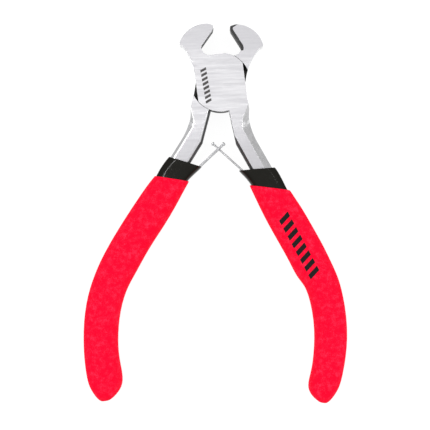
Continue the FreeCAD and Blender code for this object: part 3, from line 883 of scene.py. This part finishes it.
def lofted(name: str, side: Side, rings: Sequence[Ring], corners: Sequence[float]) -> Workpiece:
    """A closed straight form along +X through rings, shaped by extruding its end cap.

    Args:
        name: The piece's name.
        side: The side of the tool, which says where its outer side is.
        rings: The cross-sections, in order.
        corners: Corner radius on the inner side; on the outer side the width of a facet that
            is half as deep, and the radius of its ridges, or a corner radius and no ridge.

    Returns:
        The piece.
    """
    first = rings[0]
    piece = Workpiece.plate(name, first.inner + first.outer, 2 * first.height)
    inner_radius, chamfer, ridge = corners
    with piece.editing():
        outer_y = side.value * (first.inner + first.outer) / 2 * MM
        piece.pick("VERT", lambda v: abs(v.co.y + outer_y) < 0.01 * MM)
        bpy.ops.mesh.bevel(offset=inner_radius * MM, segments=6, affect="VERTICES")
        piece.pick("VERT", lambda v: abs(v.co.y - outer_y) < 0.01 * MM)
        if ridge:
            bpy.ops.mesh.bevel(offset=chamfer * MM, segments=1, affect="VERTICES")
            piece.pick("VERT", lambda v: abs(v.co.y - outer_y) < 0.01 * MM)
            lift = (first.height - chamfer / 2) / (first.height - chamfer)
            bpy.ops.transform.resize(value=(1.0, 1.0, lift), center_override=(0, 0, 0))
            reach = outer_y - side.value * chamfer * MM
            piece.pick("VERT", lambda v: side.value * (v.co.y - reach) > -0.01 * MM)
            bpy.ops.mesh.bevel(offset=ridge * MM, segments=3, affect="VERTICES")
        else:
            bpy.ops.mesh.bevel(offset=chamfer * MM, segments=6, affect="VERTICES")
        piece.pick("EDGE", lambda e: e.calc_length() > 1.6 * MM)
        bpy.ops.mesh.subdivide(number_cuts=2)
        bpy.ops.mesh.select_mode(type="FACE")
        bpy.ops.mesh.select_all(action="SELECT")
        bpy.ops.transform.translate(value=first.centre(side) * MM)
        tilt(side, first, 1)
        for old, new in zip(rings, rings[1:]):
            move = (new.centre(side) - old.centre(side)) * MM
            bpy.ops.mesh.extrude_region_move(TRANSFORM_OT_translate={"value": move})
            middle = new.centre(side) * MM
            tilt(side, Ring(new.along, new.inner, new.outer, new.height, old.slant), -1)
            wider = (new.inner + new.outer) / (old.inner + old.outer)
            growth = (1.0, wider, new.height / old.height)
            bpy.ops.transform.resize(value=growth, center_override=middle)
            tilt(side, new, 1)
        bpy.ops.mesh.select_all(action="SELECT")
        bpy.ops.mesh.normals_make_consistent(inside=False)
    return piece


def tilt(side: Side, ring: Ring, way: int) -> None:
    """Slants the selected ring about its middle and keeps its width, or undoes that.

    Args:
        side: The side of the tool.
        ring: The ring, with its slant.
        way: 1 to slant it, -1 to undo that.
    """
    if not ring.slant:
        return
    middle = ring.centre(side) * MM
    angle = math.radians(ring.slant)
    stretch = math.cos(angle) ** -way
    # Without a window this operator turns clockwise for a positive angle.
    turn = way * side.value * angle
    if way < 0:
        bpy.ops.transform.resize(value=(stretch, stretch, 1.0), center_override=middle)
    bpy.ops.transform.rotate(value=turn, orient_axis="Z", center_override=middle)
    if way > 0:
        bpy.ops.transform.resize(value=(stretch, stretch, 1.0), center_override=middle)


def bend(piece: Workpiece, guide: bpy.types.Object, shift: float) -> None:
    """Bends a straight form along a curve.

    Args:
        piece: The form, along +X.
        guide: The curve.
        shift: How far along the curve the form's X = 0 lies, in millimetres.
    """
    with piece.editing():
        bpy.ops.mesh.select_all(action="SELECT")
        bpy.ops.transform.translate(value=(shift * MM, 0.0, 0.0))
    piece.apply("CURVE", object=guide, deform_axis="POS_X")


# ---------------------------------------------------------------- sub-assemblies


@dataclass
class Handle:
    """A handle's black inner sleeve and the red grip over it.

    Attributes:
        side: The side of the tool.
        line: The middle line that both follow.
        sleeve_rings: The sleeve's cross-sections.
        grip_rings: The grip's cross-sections.
        mark: A printed row on the grip, if there is one.
        rim: Radius of the grip's rim.
        lip: Radius of the sleeve's rim.
        wall: The grip's wall at the sides of the sleeve.
        roof: The grip's wall above and below the sleeve.
        grip_room: Room between the grip and the sleeve.
        tang_room: Room between the sleeve and the tang.
        leaf_room: Room between the sleeve and the leaf's foot.
        sleeve_corners: The corners of the sleeve's section, as lofted() takes them.
        grip_corners: The same for the grip.
    """

    side: Side
    sleeve_rings: Sequence[Ring]
    grip_rings: Sequence[Ring]
    mark: Mark | None = None
    line: MiddleLine = field(default_factory=MiddleLine)
    rim: float = 0.3
    lip: float = 0.14
    wall: float = 0.85
    roof: float = 0.8
    grip_room: float = 0.03
    tang_room: float = 0.02
    leaf_room: float = 0.06
    sleeve_corners: tuple[float, float, float] = (2.6, 1.85, 0.4)
    grip_corners: tuple[float, float, float] = (3.5, 2.6, 0.0)

    def build(self, steel: bpy.types.Object, leaf: Workpiece) -> None:
        """Models both pieces and dresses them.

        Args:
            steel: The CAD forging whose tang the sleeve holds.
            leaf: The leaf spring whose foot the sleeve holds.
        """
        word = self.side.word
        guide = self.line.curve(self.side)
        sleeve_rings = self.rounded(self.all_sleeve_rings(), self.lip)
        sleeve = lofted(f"inner_sleeve_{word}", self.side, sleeve_rings, self.sleeve_corners)
        grip_rings = self.rounded(self.grip_rings, self.rim)
        grip = lofted(f"soft_grip_{word}", self.side, grip_rings, self.grip_corners)
        for piece in (sleeve, grip):
            piece.apply("SUBSURF", levels=1, render_levels=1)
            bend(piece, guide, self.line.lead)
        grip.hollow_with(sleeve.obj, self.grip_room)
        sleeve.hollow_with(steel, self.tang_room)
        sleeve.hollow_with(leaf.obj, self.leaf_room)
        for piece in (sleeve, grip):
            piece.soften()
        sleeve.dress(GlossSleeve(f"gloss_sleeve_{word}").make())
        grip.dress(SoftGrip(f"soft_grip_{word}", mark=self.mark).make())
        sleeve.finish(f"sleeve_{word}", "black_sleeve")
        grip.finish(f"grip_{word}", "red_grip")
        for piece in (sleeve, grip):
            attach(piece.obj, self.side.body)
        bpy.data.objects.remove(guide)

    def all_sleeve_rings(self) -> list[Ring]:
        """The sleeve's visible rings, then those under the grip, to its closed end."""
        seen = self.sleeve_rings[-1].along
        covered = [
            Ring(r.along, r.inner - self.wall, r.outer - self.wall, r.height - self.roof)
            for r in self.grip_rings if seen + 1.5 < r.along < 67.0
        ]
        return [*self.sleeve_rings, *covered, Ring(68.6, 3.2, 2.2, 2.9), Ring(69.4, 2.2, 1.2, 2.0)]

    @staticmethod
    def rounded(rings: Sequence[Ring], radius: float) -> list[Ring]:
        """The rings with a rounded rim before the first.

        Args:
            rings: The cross-sections.
            radius: Radius of the rim.

        Returns:
            The rings, the rim's own first.
        """
        mouth = rings[0]
        rim = []
        for degrees in (0, 30, 60, 90):
            inset = radius * (1 - math.sin(math.radians(degrees)))
            back = radius * (1 - math.cos(math.radians(degrees)))
            rim.append(Ring(
                mouth.along + back, mouth.inner - inset, mouth.outer - inset,
                mouth.height - inset, mouth.slant,
            ))
        return [*rim, *rings[1:]]


@dataclass
class LeafSpring:
    """A flat leaf: a foot along the tang, a knee, and a free end that crosses the other leaf.

    Attributes:
        side: The side of the tool that it is fixed to.
        thickness: Its thickness.
        knee: Where its knee is along the handle's middle line.
        reach: From the knee to its tip.
        lean: Lean of its free end with the tool closed, in degrees.
        root: Where it leaves the sleeve, across the tool.
        width: Its width.
        foot: Length of its foot.
        tang_inner: The handle's middle line to the tang's inner side.
        flex: Length over which it bends as the tool moves.
        knee_run: Length of the rounded knee on each side.
        bead: Thickness of the rolled lip at its tip.
        tongue: Length, width and cross-bar's width of the right leaf's tongue.
        bar: Length of the cross-bar at its tip.
        slot: Length, width and middle, back from the tip, of the left leaf's slot.
    """

    side: Side
    thickness: float
    knee: float
    reach: float
    lean: float
    root: tuple[float, float]
    width: float = 4.2
    foot: float = 9.0
    tang_inner: float = 2.6
    flex: float = 2.0
    knee_run: float = 1.2
    bead: float = 1.05
    tongue: tuple[float, float, float] = (4.3, 1.9, 3.0)
    bar: float = 1.0
    slot: tuple[float, float, float] = (3.4, 2.3, 2.85)
    line: MiddleLine = field(default_factory=MiddleLine)

    def points(self) -> tuple[Vector, Vector, Vector]:
        """The foot's end, the knee and the tip along the leaf's middle, in millimetres."""
        offset = -self.tang_inner - self.thickness / 2
        foot = self.line.beside(self.side, self.knee + self.foot, offset)
        knee = self.line.beside(self.side, self.knee, offset)
        lean = math.radians(self.lean)
        way = self.line.opened(self.side, -math.sin(lean), math.cos(lean)) - self.line.opened(
            self.side, 0.0, 0.0
        )
        return foot, knee, knee + way * self.reach

    def guide(self) -> bpy.types.Object:
        """The leaf's middle line as a curve, from the foot's end past the tip."""
        foot, knee, tip = self.points()
        up, out = (knee - foot).normalized(), (tip - knee).normalized()
        soft = self.knee_run * 0.55
        before, after = knee - up * self.knee_run, knee + out * self.knee_run
        past = tip + out * 3.0
        return bezier([
            (foot - up, foot, foot + up),
            (before - up, before, before + up * soft),
            (after - out * soft, after, after + out),
            (past - out, past, past + out),
        ])

    def build(self) -> Workpiece:
        """Models the leaf straight, cuts its slot or its tongue, and bends it.

        Returns:
            The leaf.
        """
        piece = Workpiece.plate(f"leaf_spring_{self.side.word}", self.thickness, self.width)
        total = self.foot + self.reach
        with piece.editing():
            bpy.ops.mesh.select_all(action="SELECT")
            steps = [self.foot - 2, *[self.foot - 2 + 0.5 * n for n in range(1, 9)]]
            at = 0.0
            tail = total - 7.0
            for place in (*steps, *self.flex_steps(tail)):
                bpy.ops.mesh.extrude_region_move(
                    TRANSFORM_OT_translate={"value": ((place - at) * MM, 0.0, 0.0)}
                )
                at = place
            self.shape_tip(at, total)
            bpy.ops.mesh.select_all(action="SELECT")
            bpy.ops.mesh.normals_make_consistent(inside=False)
        if self.side is Side.LEFT:
            self.cut_slot(piece, total)
        piece.apply(
            "BEVEL", width=0.1 * MM, segments=2, limit_method="ANGLE",
            angle_limit=math.radians(40), harden_normals=False,
        )
        guide = self.guide()
        bend(piece, guide, 0.0)
        bpy.data.objects.remove(guide)
        with piece.editing():
            bpy.ops.mesh.select_all(action="SELECT")
            bpy.ops.mesh.normals_make_consistent(inside=False)
        piece.soften()
        _, knee, tip = self.points()
        out = (tip - knee).normalized()
        turn = math.degrees(math.atan2(out.y, out.x))
        piece.dress(SpringSteel(f"spring_steel_{self.side.word}", turn).make())
        return piece

    def flex_steps(self, end: float) -> list[float]:
        """Close steps from the knee to where the free end is shaped."""
        first = self.foot + 2.4
        count = round((end - first) / 0.5)
        return [first + (end - first) * n / count for n in range(1, count + 1)]

    def shape_tip(self, at: float, total: float) -> None:
        """Extrudes the free end, with its tongue on the right leaf and a rolled lip.

        Args:
            at: Where the selected end cap is.
            total: Where the tip is.
        """
        lip = 0.5
        plan = [(total - lip - 0.2, 1.0, 1.0), (total - lip, self.bead / self.thickness, 1.0),
                (total - 0.12, 1.0, 1.0), (total, 0.72, 1.0)]
        if self.side is Side.RIGHT:
            length, narrow, head = self.tongue
            root, neck = total - self.bar - length, total - self.bar
            plan = [(root, 1.0, 1.0), (root, 1.0, narrow / self.width), (neck, 1.0, 1.0),
                    (neck, 1.0, head / narrow), *plan]
        for place, thicker, wider in plan:
            bpy.ops.mesh.extrude_region_move(
                TRANSFORM_OT_translate={"value": ((place - at) * MM, 0.0, 0.0)}
            )
            at = place
            bpy.ops.transform.resize(
                value=(1.0, thicker, wider), center_override=(at * MM, 0.0, 0.0)
            )

    def cut_slot(self, piece: Workpiece, total: float) -> None:
        """Cuts the slot that the other leaf's tongue passes through.

        Args:
            piece: The straight leaf.
            total: Where its tip is.
        """
        length, width, back = self.slot
        middle = ((total - back) * MM, 0.0, 0.0)
        clear_bench()
        bpy.ops.mesh.primitive_cube_add(size=MM, location=middle)
        slot = Workpiece(bpy.context.active_object)
        with slot.editing():
            bpy.ops.mesh.select_all(action="SELECT")
            bpy.ops.transform.resize(value=(length, 3.0, width), center_override=middle)
        slot.hold()
        bpy.ops.object.transform_apply(location=True, rotation=True, scale=True)
        piece.apply("BOOLEAN", operation="DIFFERENCE", object=slot.obj, solver="EXACT")
        bpy.data.objects.remove(slot.obj)

    def join_on(self, piece: Workpiece) -> None:
        """Hides the leaf's CAD node and bakes the leaf's placement into its mesh.

        Args:
            piece: The finished leaf.
        """
        _, knee, tip = self.points()
        out = (tip - knee).normalized()
        root = Vector((*self.root, MIDDLE))
        piece.finish(f"spring_{self.side.word}", "spring_steel")
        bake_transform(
            piece.obj, self.side.body, self.side.leaf,
            start=root * MM, end=(root + out * self.flex) * MM,
        )


@dataclass
class Head:
    """The two forged halves: brushed faces, ground bevels, dark inner sides that are partly
    unpolished and partly painted shade, plate edges with a painted shadow line, and a painted
    highlight along the left arm's ridge.

    Attributes:
        edge: Width of the broken edges.
        level: How near to level a brushed face is.
        ridge: Width of the rounding along the left arm's ridge.
        inner_bevel: Width of the bevel along the arms' inner edges.
        arm_from: How far below the pivot the arms start.
        arm_to: How far below it their bare part ends.
    """

    edge: float = 0.12
    level: float = 0.96
    ridge: float = 0.3
    inner_bevel: float = 0.75
    arm_from: float = 8.0
    arm_to: float = 34.0

    def build(self, node: str, name: str, side: Side, mark: Mark | None) -> Workpiece:
        """Models one half from its CAD shape: bevelled and broken edges, and a rounded ridge.

        Args:
            node: The CAD node.
            name: The new piece's name.
            side: The side that its arm is on.
            mark: A printed row on its plate, if there is one.

        Returns:
            The half.
        """
        piece = Workpiece.copy_of(frame["nodes"][node], name)
        with piece.editing():
            bpy.ops.mesh.select_all(action="SELECT")
            bpy.ops.mesh.dissolve_limited(angle_limit=math.radians(1.0))
            cuts = [
                (lambda e: self.inner_edge(e, side, self.inner_arm), self.inner_bevel, 1),
                (lambda e: self.inner_edge(e, side, self.inner_jaw), self.inner_bevel, 1),
                (lambda e: side is Side.LEFT and self.ridge_edge(e), self.ridge, 3),
            ]
            for test, width, steps in cuts:
                if piece.pick("EDGE", test):
                    bpy.ops.mesh.bevel(
                        offset=width * MM, segments=steps, affect="EDGES", clamp_overlap=False
                    )
        with piece.editing():
            piece.pick("EDGE", self.sharp)
            bpy.ops.transform.edge_bevelweight(value=1.0)
        piece.apply(
            "BEVEL", width=self.edge * MM, segments=2, limit_method="WEIGHT", loop_slide=False
        )
        top = HEAD_THICKNESS * MM
        with piece.editing():
            if piece.pick("VERT", lambda v: v.co.z > top):
                bpy.ops.transform.resize(value=(1.0, 1.0, 0.0), center_override=(0.0, 0.0, top))
        self.zone(piece, mark, name)
        piece.soften(30.0)
        return piece

    def inner_arm(self, x: float, y: float, side: Side) -> bool:
        """Whether a place is along the arm: all of it on the left, the lower part on the right."""
        return -self.arm_to < y < (-8.6 if side is Side.LEFT else -19.0)

    @staticmethod
    def inner_jaw(x: float, y: float, side: Side) -> bool:
        """Whether a place is along the cutting edge of the right jaw, which the left arm moves."""
        return side is Side.LEFT and y > 9.5 and 0.0 < x < 7.0

    @staticmethod
    def inner_edge(
        edge: bmesh.types.BMEdge, side: Side, place: Callable[[float, float, Side], bool]
    ) -> bool:
        """Whether an edge is an upper one on a side that faces the other half.

        Args:
            edge: The edge.
            side: The side of the arm.
            place: Says where such edges are looked for.

        Returns:
            Whether it is.
        """
        if len(edge.link_faces) != 2:
            return False
        middle = (edge.verts[0].co + edge.verts[1].co) / (2 * MM)
        if middle.z < MIDDLE + 0.5 or not place(middle.x, middle.y, side):
            return False
        steep, level = sorted(edge.link_faces, key=lambda face: face.normal.z)
        upright = level.normal.z > 0.9 and abs(steep.normal.z) < 0.3
        return upright and steep.normal.x * math.copysign(1.0, middle.x) < -0.3

    @staticmethod
    def sharp(edge: bmesh.types.BMEdge) -> bool:
        """Whether an edge is sharp and not round the rivet."""
        middle = (edge.verts[0].co + edge.verts[1].co) / 2
        near_rivet = math.hypot(middle.x, middle.y) < 3.8 * MM
        return not near_rivet and edge.calc_face_angle(0.0) > math.radians(24)

    def ridge_edge(self, edge: bmesh.types.BMEdge) -> bool:
        """Whether an edge is the ridge between the arm's face and its upper outer bevel."""
        if len(edge.link_faces) != 2:
            return False
        low, high = sorted(face.normal.z for face in edge.link_faces)
        middle = (edge.verts[0].co + edge.verts[1].co) / (2 * MM)
        on_arm = middle.z > MIDDLE + 1.0 and middle.y < -self.arm_from
        return on_arm and high > 0.95 and 0.4 < low < 0.93

    def zone(self, piece: Workpiece, mark: Mark | None, name: str) -> None:
        """Gives each face its finish by where it is and where it points.

        Args:
            piece: The half.
            mark: A printed row on the brushed face, if there is one.
            name: The piece's name.
        """
        materials = (
            BrushedSteel(f"brushed_steel_{name}", mark=mark).make(),
            BrushedSteel(
                f"ground_steel_{name}", bright=(0.8, 0.8, 0.81), dim=(0.68, 0.68, 0.69),
                gloss=(0.22, 0.36), lean=58.0,
            ).make(),
            # Dark grey for the sides that face the other half: partly unpolished steel, partly
            # painted shade.
            DarkForgingAndShade(f"inner_side_{name}", (0.075, 0.075, 0.075), (0.19, 0.19, 0.192)).make(),
            # Near black for the lap faces, and for the plate edges near the pivot as a painted
            # shadow line.
            DarkForgingAndShade(f"lap_face_and_shadow_{name}").make(),
            # Near-white steel on the left arm's ridge: a painted highlight.
            BrushedSteel(
                f"painted_highlight_ridge_{name}", bright=(0.98, 0.98, 0.98), dim=(0.92, 0.92, 0.92),
                gloss=(0.2, 0.3), arm_painted_shade=0.0,
            ).make(),
        )
        piece.obj.data.materials.clear()
        for material in materials:
            piece.obj.data.materials.append(material)
        with piece.editing():
            tests = (self.brushed, self.ground, self.dark, self.lap, self.wear_and_highlight)
            for index, test in enumerate(tests):
                piece.pick("FACE", test)
                piece.obj.active_material_index = index
                bpy.ops.object.material_slot_assign()

    def lap(self, face: bmesh.types.BMFace) -> bool:
        """Whether a face is a lap face, or the edge of a plate near the pivot, painted near black
        as a shadow line.
        """
        centre, normal = face.calc_center_median() / MM, face.normal
        lap = abs(normal.z) > self.level and abs(centre.z - MIDDLE) < 1.0
        return lap or abs(normal.z) < 0.3 and math.hypot(centre.x, centre.y) < 9.0

    def dark(self, face: bmesh.types.BMFace) -> bool:
        """Whether a face is painted dark: a lap face, or a side that faces the other half, dark
        partly as unpolished steel and partly as painted shade.
        """
        centre, normal = face.calc_center_median() / MM, face.normal
        inward = abs(normal.z) < 0.8 and centre.x * normal.x < 0
        return self.lap(face) or inward and (abs(centre.x) < 9.5 or centre.y < 0)

    def wear_and_highlight(self, face: bmesh.types.BMFace) -> bool:
        """Whether a face is on the rounded upper ridge of the arm, which gets a painted highlight.
        """
        centre, normal = face.calc_center_median() / MM, face.normal
        on_arm = centre.y < -self.arm_from and centre.z > MIDDLE + 1.0
        return on_arm and 0.85 < normal.z < 0.985 and centre.x * normal.x > 0

    def ground(self, face: bmesh.types.BMFace) -> bool:
        """Whether a face is a ground bevel or an outer side."""
        return abs(face.normal.z) <= self.level and not self.dark(face)

    def brushed(self, face: bmesh.types.BMFace) -> bool:
        """Whether a face is level and brushed."""
        return not self.dark(face) and not self.ground(face)


@dataclass
class Studio:
    """A pale floor, soft lights and the camera above.

    Attributes:
        camera_at: The camera's place, in millimetres.
        roll: How far the camera is turned about its axis, in degrees.
        lens: Its focal length.
        floor_size: Width of the floor, in metres.
        strip: Width and length of the lights, in metres.
        horizon: The room's brightness at the horizon and overhead.
    """

    camera_at: tuple[float, float, float] = (-0.82, -39.7, 558.0)
    roll: float = 1.2
    lens: float = 154.0
    floor_size: float = 4.0
    strip: tuple[float, float] = (0.03, 1.1)
    horizon: tuple[float, float] = (0.45, 0.98)

    def build(self) -> None:
        """Makes the floor, the lights, the world and the camera."""
        self.floor()
        self.world()
        self.soft_light("key_strip", (-0.55, 0.05, 0.75), 3.2)
        self.soft_light("far_strip", (0.75, 0.0, 0.72), 3.0)
        self.camera()
        bpy.context.scene.view_settings.view_transform = "Standard"

    def floor(self) -> None:
        """A plain pale floor just under the tool."""
        clear_bench()
        bpy.ops.mesh.primitive_plane_add(size=self.floor_size, location=(0.0, 0.0, -0.0002))
        plane = bpy.context.active_object
        plane.name = "floor"
        recipe = Recipe("pale_floor")
        recipe.feed("Base Color", (0.16, 0.16, 0.16))
        recipe.feed("Roughness", 0.9)
        recipe.feed("Specular IOR Level", 0.0)
        recipe.feed("Emission Color", (1.0, 1.0, 1.0))
        recipe.feed("Emission Strength", 0.92)
        plane.data.materials.append(recipe.material)

    def world(self) -> None:
        """A pale room that is brightest overhead."""
        world = bpy.data.worlds.new("pale_room")
        bpy.context.scene.world = world
        world.use_nodes = True
        nodes, links = world.node_tree.nodes, world.node_tree.links
        coordinates = nodes.new("ShaderNodeTexCoord")
        split = nodes.new("ShaderNodeSeparateXYZ")
        ramp = nodes.new("ShaderNodeMapRange")
        ramp.interpolation_type = "SMOOTHSTEP"
        ramp.inputs["To Min"].default_value, ramp.inputs["To Max"].default_value = self.horizon
        links.new(coordinates.outputs["Generated"], split.inputs[0])
        links.new(split.outputs["Z"], ramp.inputs["Value"])
        links.new(ramp.outputs[0], nodes["Background"].inputs["Strength"])
        nodes["Background"].inputs["Color"].default_value = (1.0, 1.0, 1.0, 1.0)

    def soft_light(self, name: str, place: Sequence[float], power: float) -> None:
        """A long narrow light that points at the middle of the tool.

        Args:
            name: Its name.
            place: Where it is, in metres.
            power: Its power in watts.
        """
        data = bpy.data.lights.new(name, "AREA")
        data.shape = "RECTANGLE"
        data.size, data.size_y = self.strip
        data.energy = power
        light = bpy.data.objects.new(name, data)
        bpy.context.scene.collection.objects.link(light)
        light.location = place
        aim = Vector((0.0, -0.04, 0.0)) - light.location
        light.rotation_euler = aim.to_track_quat("-Z", "Y").to_euler()

    def camera(self) -> None:
        """The camera, straight above and turned a little."""
        data = bpy.data.cameras.new("camera")
        data.sensor_width = 36.0
        data.lens = self.lens
        camera = bpy.data.objects.new("camera", data)
        bpy.context.scene.collection.objects.link(camera)
        camera.location = Vector(self.camera_at) * MM
        camera.rotation_euler = (0.0, 0.0, math.radians(self.roll))
        bpy.context.scene.camera = camera


# ---------------------------------------------------------------- the tool

LEAVES = {
    Side.LEFT: LeafSpring(Side.LEFT, 0.7, 4.5, 20.8, 36.8, (-5.405, -24.973)),
    Side.RIGHT: LeafSpring(Side.RIGHT, 0.55, 1.7, 18.5, 40.4, (7.203, -26.218)),
}


def rings(*rows: Sequence[float]) -> tuple[Ring, ...]:
    """Cross-sections from their numbers, in the order of Ring's own fields."""
    return tuple(Ring(*row) for row in rows)


LEFT_SLEEVE = rings(
    (-4.65, 6.15, 3.75, 4.1, 15.0), (-3.4, 5.95, 3.95, 4.04, 15.0),
    (-1.6, 5.32, 4.05, 3.92, 12.0), (0.6, 4.72, 4.12, 3.8, 6.0), (2.8, 4.55, 4.0, 3.65),
)
RIGHT_SLEEVE = rings(
    (-2.45, 5.8, 4.1, 4.1, 25.0), (-1.3, 5.6, 4.2, 4.04, 25.0), (0.4, 4.95, 4.25, 3.92, 22.0),
    (2.6, 4.65, 4.2, 3.8, 14.0), (5.2, 4.55, 4.1, 3.65, 6.0),
)
LEFT_GRIP = rings(
    (1.75, 5.22, 4.36, 4.42, 23.5), (2.9, 5.3, 4.46, 4.46, 23.0), (5.0, 5.42, 4.65, 4.5, 19.0),
    (8.0, 5.72, 4.82, 4.5, 12.0), (11.5, 5.93, 4.92, 4.5, 5.0), (15.5, 6.0, 5.0, 4.5),
    (20.0, 5.86, 5.07, 4.5), (24.0, 5.93, 5.02, 4.5), (28.0, 6.07, 4.95, 4.5),
    (31.0, 6.03, 5.03, 4.5), (34.0, 5.82, 5.13, 4.5), (37.5, 5.44, 5.2, 4.5),
    (41.0, 5.23, 5.32, 4.5), (46.0, 5.22, 5.3, 4.5), (51.0, 5.35, 5.08, 4.5),
    (56.0, 5.51, 4.82, 4.5), (60.0, 5.65, 4.7, 4.5), (63.5, 5.95, 4.6, 4.5),
    (66.5, 6.15, 4.52, 4.48), (68.7, 6.05, 4.27, 4.4), (70.5, 5.48, 3.62, 4.15),
    (72.0, 4.28, 2.92, 3.6), (73.2, 2.95, 2.2, 2.85), (73.95, 1.75, 1.5, 2.0),
    (74.3, 0.9, 0.9, 1.1),
)
RIGHT_GRIP = rings(
    (4.3, 5.2, 4.64, 4.42, 37.0), (5.6, 5.32, 4.7, 4.46, 36.0), (8.0, 5.55, 4.78, 4.5, 30.0),
    (11.0, 5.88, 4.95, 4.5, 20.0), (14.5, 6.08, 5.05, 4.5, 9.0), (18.5, 6.13, 5.07, 4.5),
    (23.0, 6.13, 5.04, 4.5), (27.0, 6.23, 5.0, 4.5), (30.0, 6.23, 4.98, 4.5),
    (32.3, 6.03, 5.1, 4.5), (34.2, 5.52, 5.2, 4.5), (36.2, 4.95, 5.36, 4.5),
    (38.5, 4.67, 5.44, 4.5), (42.0, 4.6, 5.36, 4.5), (48.0, 4.6, 5.26, 4.5),
    (54.0, 4.76, 5.06, 4.5), (59.0, 4.92, 4.73, 4.5), (63.0, 4.96, 4.43, 4.5),
    (66.0, 5.16, 4.3, 4.48), (68.25, 5.32, 3.9, 4.35), (69.95, 5.0, 3.27, 4.05),
    (71.3, 4.1, 2.62, 3.5), (72.4, 2.8, 1.98, 2.7), (73.15, 1.45, 1.3, 1.8),
    (73.45, 0.8, 0.8, 1.0),
)


def main() -> None:
    """Builds the tool piece by piece, then the studio."""
    head = Head()
    plate_mark = Mark(
        start=(-5.3, 3.9), turn=-79.0, length=10.7, height=1.8, bars=8, ink=(0.05, 0.045, 0.045)
    )
    grip_mark = Mark(start=(19.6, -39.6), turn=-60.5, length=21.0, height=3.6, bars=8)
    halves = {
        Side.RIGHT: head.build("front_half", "forged_half_front", Side.RIGHT, plate_mark),
        Side.LEFT: head.build("rear_half", "forged_half_rear", Side.LEFT, None),
    }
    leaves = {side: spring.build() for side, spring in LEAVES.items()}
    Handle(Side.LEFT, LEFT_SLEEVE, LEFT_GRIP).build(
        frame["nodes"]["rear_half"], leaves[Side.LEFT]
    )
    Handle(Side.RIGHT, RIGHT_SLEEVE, RIGHT_GRIP, grip_mark).build(
        frame["nodes"]["front_half"], leaves[Side.RIGHT]
    )
    for side, node in ((Side.RIGHT, "front_half"), (Side.LEFT, "rear_half")):
        halves[side].finish(node, "forged_steel")
        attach(halves[side].obj, side.body)
        LEAVES[side].join_on(leaves[side])
    for node in ("pivot_rivet", "spring_rivet_right", "spring_rivet_left"):
        rivet = frame["nodes"][node]
        rivet.data.materials.clear()
        rivet.data.materials.append(BrushedSteel(f"brushed_steel_{node}").make())
        LOG.info("%s: the CAD piece, dressed", node)
    Studio().build()


if __name__ == "__main__":
    logging.basicConfig(level=logging.INFO)
    main()
